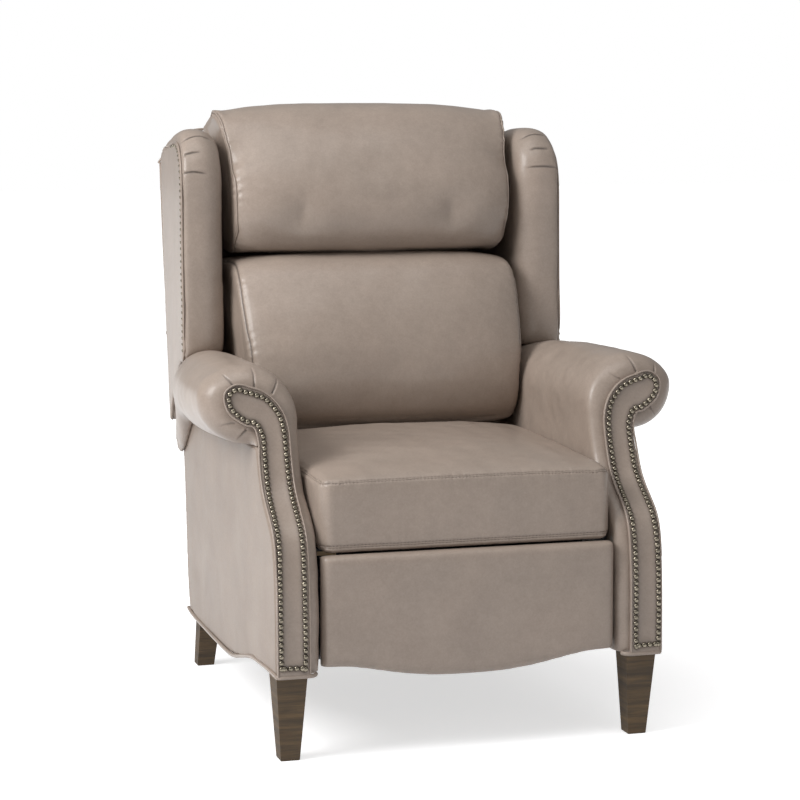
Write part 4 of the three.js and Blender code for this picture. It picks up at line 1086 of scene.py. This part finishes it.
def head_pillow():
    """The head pillow with its dimples"""
    form = cushion_form(PILLOW_MIDDLE, PILLOW_END, PILLOW_WIDTH, PLUMP_STATIONS, PILLOW_BOX, 284, 9.0)
    seams = [[at(x * sign, y, z) for x, y, z in PILLOW_SEAM] for _, sign in SIDES]

    def dents(points):
        x, z = np.abs(points[:, 0]) - 0.150, points[:, 2] - 0.896
        front = points[:, 1] < FRONT + 0.7
        bowl = np.exp(-(x / 0.034) ** 2 - (z / 0.036) ** 2)
        fold = np.exp(-((x + 0.006 + z * 0.12) / 0.011) ** 2 - ((z + 0.002) / 0.022) ** 2)
        ear = np.exp(-((np.abs(points[:, 0]) - 0.283) / 0.012) ** 2 - ((points[:, 2] - 1.081) / 0.012) ** 2)
        return -(0.0065 * bowl + 0.002 * fold) * front + 0.006 * ear

    def limit(points):
        before_lining(points)
        high = np.clip((points[:, 2] - 1040) / 40, 0, 1)
        return held_in(points, 288 - 0.22 * high * np.maximum(0, points[:, 1] - 722), PILLOW_BOX[3])

    sewn = padded_cushion("head_pillow", "back", form, seams, limit, 37, 0.0014, dents)
    seam_welts("head_pillow_welt", sewn, 0.0017, 0.7, 0.005, "back")


def roll_ring(dims, side_x):
    """One section of the padding over an arm, in width and height."""
    inner_x, start_z, middle_x, top_z, outer_x, widest_z, under_x, under_z = dims
    points = [(x, ARM_LOW) for x in np.linspace(ARM_FRAME_X, inner_x, 6)]
    points += [(inner_x, z) for z in np.linspace(ARM_LOW, start_z, 60)[1:-1]]
    for x, z, radius_x, radius_z, start in (
            (middle_x, start_z, middle_x - inner_x, top_z - start_z, math.pi),
            (middle_x, widest_z, outer_x - middle_x, top_z - widest_z, math.pi / 2),
            (under_x, widest_z, outer_x - under_x, widest_z - under_z, 0.0)):
        for turn in start - np.linspace(0, math.pi / 2, 22):
            points.append((x + radius_x * math.cos(turn), z + radius_z * math.sin(turn)))
    low = min(under_z, ARM_FRAME_TOP - PAD_GAP)
    points += [(side_x, low), (side_x, ARM_FRAME_TOP), (mix(side_x, ARM_FRAME_X, 0.5), ARM_FRAME_TOP)]
    points += [(ARM_FRAME_X, z) for z in np.linspace(ARM_FRAME_TOP, ARM_LOW, 60)[:-1]]
    return np.array(points)


def roll_form():
    """The padding over the left arm, cut to the wing's sweep, the rear line and the space under the seat."""
    stations, dims = zip(*ROLL_STATIONS)
    first, second = stations[:2]
    behind_facing = FACING_THICKNESS + PAD_GAP
    border = math.sqrt(BORDER_ROUND / ROLL_FRONT_ROUND)
    rings = []
    for turn in np.linspace(0, math.pi / 2, 16):
        fullness = math.sin(turn)
        section = mix(np.array(ROLL_FRONT, float), np.array(dims[0], float), fullness)
        section[0] = mix(ROLL_FRONT[0], ARM_INNER, min(1, fullness / border))
        ring = roll_ring(section, ARM_SIDE_X)
        start = arm_front_at(ring[:, 1]) + behind_facing
        rings.append(stood(ring, start + (1 - math.cos(turn)) * ROLL_FRONT_ROUND))
    for share in np.linspace(0, 1, 31)[1:]:
        side_x = mix(ARM_SIDE_X, arm_outer_at(second) + PAD_GAP, share)
        ring = roll_ring(hermite(stations, dims, mix(first, second, share)), side_x)
        start = arm_front_at(ring[:, 1]) + behind_facing + ROLL_FRONT_ROUND
        rings.append(stood(ring, mix(start, second, share)))
    for depth in np.arange(second + 6, DEPTH + 1, 5.5):
        rings.append(stood(roll_ring(hermite(stations, dims, depth), arm_outer_at(depth) + PAD_GAP), depth))
    for ring in rings:
        behind = ring[:, 1] > ARM_COLUMN
        ring[:, 2] = np.where(behind, np.maximum(ring[:, 2], ARM_PAD_UNDERSIDE), ring[:, 2])
        ring[:, 2] = np.minimum(ring[:, 2], sweep_at(ring[:, 1]))
        ring[:, 1] = np.minimum(ring[:, 1], pad_rear_at(ring[:, 2]))
    return lofted(rings)


def arm_rolls():
    """The padding over both arms, gathered at the front"""
    form = remeshed(roll_form(), 0.0048, 5)
    rippled(form, (0.0008, 0.13, 5), (0.0004, 0.05, 6))
    for side, sign in SIDES:
        piece = twin(form, sign)
        tree = surface_of(piece)
        folds = []
        for width, height, across, up, long, _ in ROLL_FOLDS[side]:
            start = float(arm_front_at(height)) + FACING_THICKNESS
            line = [at(sign * (width + across * long * t), start + long * 0.8 * t, height + up * long * t)
                    for t in np.linspace(0, 1, 12)]
            folds.append(laid_on(tree, line, count=60)[0])

        def fade_of(i, along):
            return ROLL_FOLDS[side][i][-1] * np.clip(1 - along, 0, 1) ** 0.6

        def above_of(line, points):
            way = line[-1] - line[0]
            beside = np.cross(way / np.linalg.norm(way), normals_of(piece))
            return np.einsum("ij,ij->i", points - line.mean(0), beside)

        pressed(piece, folds, fade_of, above_of, 0.0009, 0.006, 0.0024, 0.0016)
        finished(piece, f"arm_roll_{side}", "base", [f"arm_padding_{side}"])
    remove(form)


def facing_form():
    """The left arm's facing as a flat slab with a rounded front edge."""
    outer = np.column_stack([np.full(50, 341.0), np.linspace(475, 151, 50)])
    inner = np.column_stack([np.full(50, 285.0), np.linspace(151, 524, 50)])
    outline = np.vstack([spline(FACING_OUTLINE[3:25], 150), outer, inner])
    ahead = np.roll(outline, -1, 0) - np.roll(outline, 1, 0)
    inward = np.column_stack([ahead[:, 1], -ahead[:, 0]]) / np.linalg.norm(ahead, axis=1)[:, None]
    layers = ((0.0, 3.2), (0.6, 1.2), (1.8, 0.0), (FACING_THICKNESS, 0.0))
    return lofted([stood(outline + inward * inset, depth) for depth, inset in layers])


def on_front_line(points):
    """Lays flat points along the arm's front line."""
    moved = points.copy()
    moved[:, 1] += arm_front_at(points[:, 2] / MM) * MM
    return moved


def inside(points, outline):
    """Which points, in width and height, lie within an outline."""
    x, z = points.T
    hit = np.zeros(len(points), bool)
    for (x1, z1), (x2, z2) in zip(outline, np.roll(outline, -1, 0)):
        if z1 != z2:
            hit ^= ((z1 > z) != (z2 > z)) & (x < (x2 - x1) * (z - z1) / (z2 - z1) + x1)
    return hit


def arm_facings():
    """Both facings with their nails and welts"""
    trim = bpy.context.scene.recliner_trim
    form = remeshed(facing_form(), 0.0026, 4)
    nails = spline(NAIL_PATH, 320)
    points = points_of(form)
    flat = points * (1, 0, 1)
    distance, _ = near(flat, stood(nails * MM))
    front = points[:, 1] < FRONT + 0.004
    padded = inside(flat[:, [0, 2]] / MM, nails) * (1 - np.exp(-(distance / 0.009) ** 2))
    points[:, 1] += front * (0.0022 * padded + 0.0014 * np.exp(-(distance / 0.0045) ** 2))
    place_points(form, on_front_line(points))
    # Painted shade round the facing's nails, stored with the seams' painted shade
    note(form, 0.9 * np.exp(-(distance / 0.0052) ** 2) * front)
    other = twin(form)
    path, facing = laid_on(surface_of(form), on_front_line(in_frame([stood(nails, -4)])[0]), 0.0009)
    for side, piece in (("left", form), ("right", other)):
        # The facings' leather is 4% darker as painted shade
        finished(piece, f"arm_facing_cover_{side}", "base", [f"arm_facing_{side}"],
                 leather("Leather facing", 0.96))
    nailed("arm_nails", path, facing, trim.nail_pitch, trim.nail_width, 0.82, "base")
    lines = [stood(spline(FACING_OUTLINE[2:26], 220), 0.5)]
    for x, top in ((285.5, 420), (340.5, 320)):
        lines.append([(x, 1, z) for z in np.linspace(155, top, 60)])
    lines = [on_front_line(line) for line in in_frame(lines)]
    welted("arm_facing_welts", both(lines), 0.0017, 0.005, "base")


def arch(share):
    return np.clip(np.sin(np.pi * np.clip(share, 0, 1)), 0, 1) ** 0.5


def arm_sides():
    """The outer arm panels and the hem"""
    for side, sign in SIDES:
        piece = remeshed(copy_of(f"arm_outer_panel_{side}"), 0.0045, 5)
        points = points_of(piece)
        _, y, z = ((points - (0, FRONT, 0)) / MM).T
        outer = np.abs(points[:, 0]) > 0.325
        flat = outer & (np.abs(np.abs(points[:, 0]) / MM - arm_outer_at(y)) < 1.2)
        points[:, 0] = np.where(flat, sign * arm_outer_at(y) * MM, points[:, 0])
        crown = 0.0035 * arch((y - 10) / 800) * arch((z - 120) / 430)
        points[:, 0] += sign * outer * (crown + 0.0008 * waves(points, 0.2, 9))
        place_points(piece, points)
        # The side panels' leather is 7% darker as painted shade, and less glossy
        finished(piece, f"arm_side_cover_{side}", "base", [f"arm_outer_panel_{side}"],
                 leather("Leather side", 0.93, 0.3))
    hem = [(back * DEPTH, up * LEG_HEIGHT) for back, up in ARM_HEM]
    hem = spline([(14, 151), (40, 151)] + hem + [(779, 117)], 160)
    start = [(273, 14, 152), (275, 8.5, 151.7), (279, 4.5, 151.5)]
    front = [(x, 2.5, 151.5) for x in np.linspace(284, 338, 20)]
    corner = [(340.5, 5, 151.5), (341.5, 10, 151.5)]
    side_line = [(float(arm_outer_at(y)) + 0.6, y, z + 1.0) for y, z in hem]
    path = spline([at(*p) for p in start + front + corner + side_line], 300)
    welted("hem_welts", both([path]), bpy.context.scene.recliner_trim.welt_radius, 0.006, "base")


def wing_height(up):
    low, low_top = 0.7359 * ARM_HEIGHT, 0.996 * ARM_HEIGHT
    return mix(low, low_top, up / 0.3) if up < 0.3 else mix(low_top, WING_TOP, (up - 0.3) / 0.7)


def wing_outline():
    """The wing's side as depth, height and the rounding of both edges, on a smooth closed line."""
    return spline([(mix(WING_START, DEPTH, back), wing_height(up), inner, outer)
                   for back, up, inner, outer in WING_SIDE], WING_POINTS, True)


def toward_heart(line, inset):
    """A wing's side outline drawn in towards its middle by an inset for each point."""
    out = (mix(WING_START, DEPTH, 0.5), wing_height(0.6)) - line[:, :2]
    out /= np.linalg.norm(out, axis=1)[:, None]
    return line[:, :2] + out * inset[:, None]


def wing_base_at(depth):
    """Height of a wing's lower edge."""
    low = sorted((mix(WING_START, DEPTH, side[0]), wing_height(side[1]))
                 for side in [WING_SIDE[0], *WING_SIDE[16:]])
    return np.interp(depth, *np.array(low).T)


def on_the_roll(piece, roll):
    """Draws a left wing's lower edge down onto the roll of the arm."""
    points = points_of(piece)
    depth = (points[:, 1] - FRONT) / MM
    base = wing_base_at(depth)
    for i in np.flatnonzero(points[:, 2] / MM < base + WING_FIT):
        x, y, z = points[i]
        spot = roll.ray_cast(Vector((x, y, 0.8)), Vector((0, 0, -1)))[0]
        rest = max(spot.z / MM if spot else 0, float(sweep_at(depth[i])) - WING_SINK) + WING_GAP
        drop = min(base[i] - rest, WING_MOST_DROP) * np.clip((800 - depth[i]) / 60, 0, 1)
        share = np.clip(1 - (z / MM - base[i]) / WING_FIT, 0, 1)
        points[i, 2] -= max(0.0, drop) * MM * share
    place_points(piece, points)


def wing_form(line, layers, size, smoothing, roll):
    """A left wing's part from layers: the inset of the outline, and the width for each depth."""
    rings = []
    for inset, width_at in layers:
        yz = toward_heart(line, inset)
        yz[:, 0] = np.minimum(yz[:, 0], pad_rear_at(yz[:, 1]))
        rings.append(np.column_stack([width_at(yz[:, 0]), yz]))
    form = remeshed(lofted(rings), size, smoothing)
    on_the_roll(form, roll)
    return form


def quarter_round(share):
    """How far a rounded edge has still to go out, from 1 at its start to 0 at its end."""
    return 1 - math.sqrt(1 - max(0, 1 - share) ** 2)


def wings():
    """Both wings with their side panels, welts and nails"""
    trim = bpy.context.scene.recliner_trim
    solid = roll_form()
    roll = surface_of(solid)
    remove(solid)
    line = wing_outline()
    inner_round, outer_round = np.maximum(0, line[:, 2:].T)
    layers = []
    for share in np.concatenate([np.linspace(0, 0.5, 20), np.linspace(0.54, 1, 18)]):
        inset = inner_round * quarter_round(share / WING_INNER_SHARE)
        inset = inset + outer_round * WING_PAD_SHARE * quarter_round((1 - share) / WING_OUTER_SHARE)
        layers.append((inset, lambda y, share=share: mix(
            WING_INNER, wing_outer_at(y) - WING_SKIN - PAD_GAP, share)))
    form = wing_form(line, layers, 0.0048, 3, roll)
    rippled(form, (0.0006, 0.15, 15), (0.0003, 0.05, 16))
    for side, sign in SIDES:
        piece = twin(form, sign)
        tree = surface_of(piece)
        folds = [laid_on(tree, [at(sign * x, y, z) for x, y, z in fold], count=70)[0]
                 for fold in WING_FOLDS[side]]
        pressed(piece, folds, lambda i, along: np.sin(np.pi * np.clip(along, 0.02, 0.98)) ** 0.5,
                lambda fold, points: points[:, 2] - fold[:, 2].mean(), 0.0011, 0.008, 0.0022, 0.0017)
        finished(piece, f"wing_cover_{side}", "back", [f"wing_padding_{side}"])
    remove(form)

    skin_round = outer_round * WING_SKIN_SHARE
    layers = [(skin_round + inset, lambda y, out=out: wing_outer_at(y) - WING_SKIN + out) for out, inset in (
        (-4, 0.0), (WING_SKIN - 2.0, 0.0), (WING_SKIN - 0.6, 0.8), (WING_SKIN, 2.6))]
    panel = wing_form(line, layers, 0.0034, 2, roll)
    tree = surface_of(panel)
    for side, sign in SIDES:
        finished(twin(panel, sign), f"wing_side_{side}", "back", [f"wing_outer_panel_{side}"])
    remove(panel)

    yz = toward_heart(line, skin_round - 0.2)
    shown = [i for i, (y, z) in enumerate(yz) if z > 640 and y < 925]
    shown.sort(key=lambda i: (i + WING_POINTS // 2) % WING_POINTS)
    rim = spline([at(float(wing_outer_at(y)) - 2.6, y, z) for y, z in yz[shown]], 240)
    welted("wing_welts", both([rim]), 0.0013, 0.005, "back")
    yz = toward_heart(line, skin_round + 7.5)
    row = [(y, z) for y, z in yz[shown] if z > 720 and y < 760]
    low_end = min(row, key=lambda place: place[1])
    row = [(y, z) for y, z in row if y < 640 or z > 900]
    stem = [(low_end[0], height) for height in (640, 665, 690)]
    row = row + stem[::-1] if row[-1] == low_end else stem + row
    row = [at(float(wing_outer_at(y)), y, z) for y, z in row]
    path, facing = laid_on(tree, row, 0.0002, 200)
    nailed("wing_nails", path, facing, trim.wing_nail_pitch, trim.wing_nail_width, 0.55, "back")


def footrest():
    """The padded footrest panel with its shaped lower edge"""
    wide, top, low = 260, 348, 159
    start, edge = 12, 13
    half = [(across * wide, low - down * 27) for across, down in FOOTREST_HEM]
    hem = spline(half + [(-x, z) for x, z in half[-2::-1]], 120)
    right = [(wide, z) for z in np.linspace(top, low, 40)[:-1]]
    left = [(-wide, z) for z in np.linspace(low, top, 40)[1:]]
    upper = [(x, top) for x in np.linspace(-wide, wide, 100)[1:-1]]
    outline = np.vstack([right, hem, left, upper])
    middle, reach = np.array([0.0, 253.0]), np.array([260.0, 108.0])
    rings = []
    for turn in np.linspace(0, math.pi / 2, 9):
        scale = 1 - (1 - math.sin(turn)) * edge / reach
        rings.append(stood(middle + (outline - middle) * scale, start + (1 - math.cos(turn)) * edge))
    rings.append(stood(outline, 41.0))
    for inner in (0.8, 0.6, 0.4, 0.2, 0.02):
        rings.insert(0, stood(middle + (rings[0][:, [0, 2]] - middle) * inner, start))
    form = remeshed(lofted(rings), 0.005, 6)
    points = points_of(form)
    x, z = np.abs(points[:, 0]) / 0.26, np.abs(points[:, 2] - 0.245) / 0.11
    front = points[:, 1] < FRONT + 0.02
    crown = np.clip(1 - x**4, 0, 1) * np.clip(1 - z**3, 0, 1)
    points[:, 1] -= front * (0.003 * crown + 0.0008 * waves(points, 0.14, 41))
    place_points(form, points)
    finished(form, "footrest_cover", "footrest", ["footrest_pad"])


def back_skins():
    """The outer back, its cap, its lining and the rear panel"""
    for node_name, name, body, size in (
            ("back_outer_panel", "back_cover", "back", 0.005),
            ("back_top_cap", "back_cap_cover", "back", 0.005),
            ("back_liner", "back_lining", "back", 0.004),
            ("rear_base_panel", "rear_cover", "base", 0.0045)):
        piece = remeshed(copy_of(node_name), size, 4)
        rippled(piece, (0.0005, 0.18, 51))
        finished(piece, name, body, [node_name])
    side = [(260, z) for z in np.linspace(266, 484, 40)]
    side += [(343, 508), (344, 520)]
    side += [(344, z) for z in np.linspace(540, 988, 80)]
    side += [(282, 1044), (200, 1044), (100, 1044), (0, 1044)]
    line = spline([at(x, float(rear_at(z)) - 0.5, z) for x, z in side], 400)
    whole = np.vstack([line, mirrored(line)[::-1][1:]])
    welted("back_welt", [whole], 0.0026, 0.006, "back")


def legs():
    """Four tapered legs with softened edges"""
    for node_name in ("leg_front_left", "leg_front_right", "leg_rear_left", "leg_rear_right"):
        piece = copy_of(node_name)
        edge = piece.modifiers.new("Edge", "BEVEL")
        edge.width, edge.segments = bpy.context.scene.recliner_wood.edge, 3
        edge.limit_method = "ANGLE"
        settle(piece)
        name = node_name.replace("leg_", "leg_post_")
        finished(piece, name, "base", [node_name], leg_stain())
        piece.data.polygons.foreach_set("use_smooth", [False] * len(piece.data.polygons))


def frame_finishes():
    """Wood, steel and cloth of the frame that stays as it is"""
    slots = {p["node"]: p.get("material_slot") for p in frame["record"].get("subparts", [])}
    finish = {
        "frame_wood": wood("Raw frame wood", (0.50, 0.36, 0.22), (0.6, 9, 9), 0.45, 0.7),
        "mechanism_steel": metal("Black steel", (0.035, 0.035, 0.038), 0.45, 0.6, 180.0, 0.5),
        "deck_cloth": woven("Deck cloth", (0.03, 0.03, 0.032)),
        "leg_wood": leg_stain(),
        "leather": leather("Leather"),
    }
    for name, shown in frame["nodes"].items():
        slot = slots.get(name) or "leather"
        # The seat's front rail gets the black deck cloth as painted shade, so the gap under the seat cushion
        # shows dark
        if name == "seat_front_rail":
            slot = "deck_cloth"
        if name.startswith("arm_frame"):
            slot = "leather"
        if not shown.data.materials:
            shown.data.materials.append(finish[slot])
        for place in shown.material_slots:
            place.material = finish[slot]


# The stage

def floor():
    """A pale floor that looks white, but for the shade under the chair."""
    made = bpy.data.materials.new("Pale floor")
    made.use_nodes = True
    tree = made.node_tree
    tree.nodes.remove(tree.nodes["Principled BSDF"])
    rays = node(tree, "ShaderNodeLightPath").outputs
    seen = math_node(tree, "MAXIMUM", rays["Is Camera Ray"], rays["Is Glossy Ray"])
    seen = math_node(tree, "MAXIMUM", seen, rays["Is Transmission Ray"])
    pale = node(tree, "ShaderNodeBsdfDiffuse", {"Color": (0.78, 0.78, 0.79, 1)})
    away = node(tree, "ShaderNodeVectorMath", {0: place_in(tree)}, operation="LENGTH").outputs["Value"]
    lift = node(tree, "ShaderNodeEmission", {"Strength": ranged(tree, away, 0.4, 1.3, 0.62, 1.0)})
    lit = node(tree, "ShaderNodeAddShader", {0: pale.outputs[0], 1: lift.outputs[0]})
    chosen = node(tree, "ShaderNodeMixShader", {0: seen, 1: pale.outputs[0], 2: lit.outputs[0]})
    tree.links.new(chosen.outputs[0], tree.nodes["Material Output"].inputs["Surface"])
    size = 30.0
    corners = [(-size, -size, 0), (size, -size, 0), (size, size, 0), (-size, size, 0)]
    piece = new_piece("floor", corners, [(0, 1, 2, 3)])
    piece.data.materials.append(made)


def surround(strength):
    """A white surround that lights the chair only softly."""
    world = bpy.data.worlds.new("Studio")
    bpy.context.scene.world = world
    world.use_nodes = True
    tree = world.node_tree
    tree.nodes.clear()
    rays = node(tree, "ShaderNodeLightPath").outputs
    seen = math_node(tree, "MAXIMUM", rays["Is Camera Ray"], rays["Is Transmission Ray"])
    soft, white = [node(tree, "ShaderNodeBackground", {"Color": (1, 1, 1, 1), "Strength": power}).outputs[0]
                   for power in (strength, 1.0)]
    chosen = node(tree, "ShaderNodeMixShader", {0: seen, 1: soft, 2: white})
    tree.links.new(chosen.outputs[0], node(tree, "ShaderNodeOutputWorld").inputs["Surface"])


def stage():
    """Floor, surround, lamps and camera"""
    settings = bpy.context.scene.recliner_stage
    scene = bpy.context.scene
    scene.view_settings.view_transform = "Standard"
    floor()
    surround(settings.sky)
    for name, power, place, aim, width, height in (
            ("Key", settings.key, (-2.75, -1.0, 2.5), (0, 0, 0.6), 1.7, 1.7),
            ("Fill", settings.fill, (1.9, -3.4, 1.5), (0, 0, 0.5), 1.8, 1.8),
            ("Top", settings.top, (-0.5, -1.1, 3.5), (0, 0, 0.4), 2.6, 2.2)):
        data = bpy.data.lights.new(name, "AREA")
        data.shape, data.size, data.size_y, data.energy = "RECTANGLE", width, height, power
        lamp = linked(name, data)
        lamp.location = place
        lamp.rotation_euler = (Vector(aim) - Vector(place)).to_track_quat("-Z", "Y").to_euler()

    data = bpy.data.cameras.new("Camera")
    data.lens, data.sensor_width, data.sensor_fit = settings.lens, 36.0, "AUTO"
    camera = linked("Camera", data)
    yaw, pitch, roll = CAMERA_TURNS
    ahead = Vector((math.sin(yaw) * math.cos(pitch), math.cos(yaw) * math.cos(pitch), -math.sin(pitch)))
    right = Vector((math.cos(yaw), -math.sin(yaw), 0))
    up = right.cross(ahead)
    across = right * math.cos(roll) + up * math.sin(roll)
    upward = up * math.cos(roll) - right * math.sin(roll)
    turn = Matrix((across, upward, -ahead)).transposed()
    camera.matrix_world = Matrix.Translation(CAMERA_PLACE) @ turn.to_4x4()
    scene.camera = camera


def operator(label, work):
    """An operator that makes one piece or group of like pieces."""
    def execute(self, context):
        work()
        return {"FINISHED"}
    return type("RECLINER_OT_" + work.__name__, (bpy.types.Operator,), {
        "__doc__": work.__doc__, "bl_idname": "recliner." + work.__name__, "bl_label": label,
        "bl_options": {"REGISTER", "UNDO"}, "execute": execute})


OPERATORS = [operator(label, work) for label, work in (
    ("Stage", stage), ("Seat cushion", seat_cushion), ("Lumbar cushion", lumbar_cushion),
    ("Head pillow", head_pillow), ("Arm rolls", arm_rolls), ("Arm facings", arm_facings),
    ("Arm sides", arm_sides), ("Wings", wings), ("Footrest", footrest), ("Back", back_skins), ("Legs", legs),
    ("Frame finishes", frame_finishes))]
SETTINGS = {
    "recliner_leather": LeatherSettings, "recliner_trim": TrimSettings, "recliner_cushion": CushionSettings,
    "recliner_wood": WoodSettings, "recliner_stage": StageSettings,
}


class RECLINER_PT_panel(bpy.types.Panel):
    """Lists the settings and the pieces"""
    bl_label = "Wingback recliner"
    bl_space_type = "VIEW_3D"
    bl_region_type = "UI"
    bl_category = "Recliner"

    def draw(self, context):
        for name, kind in SETTINGS.items():
            box = self.layout.box()
            box.label(text=kind.__doc__)
            for key in kind.__annotations__:
                box.prop(getattr(context.scene, name), key)
        for made in OPERATORS:
            self.layout.operator(made.bl_idname)


def register():
    for kind in [*SETTINGS.values(), *OPERATORS, RECLINER_PT_panel]:
        bpy.utils.register_class(kind)
    for name, kind in SETTINGS.items():
        setattr(bpy.types.Scene, name, PointerProperty(type=kind))


def unregister():
    for name in SETTINGS:
        delattr(bpy.types.Scene, name)
    for kind in reversed([*SETTINGS.values(), *OPERATORS, RECLINER_PT_panel]):
        bpy.utils.unregister_class(kind)


def main():
    register()
    for made in OPERATORS:
        getattr(bpy.ops.recliner, made.bl_idname.split(".")[1])()


if __name__ == "__main__":
    main()
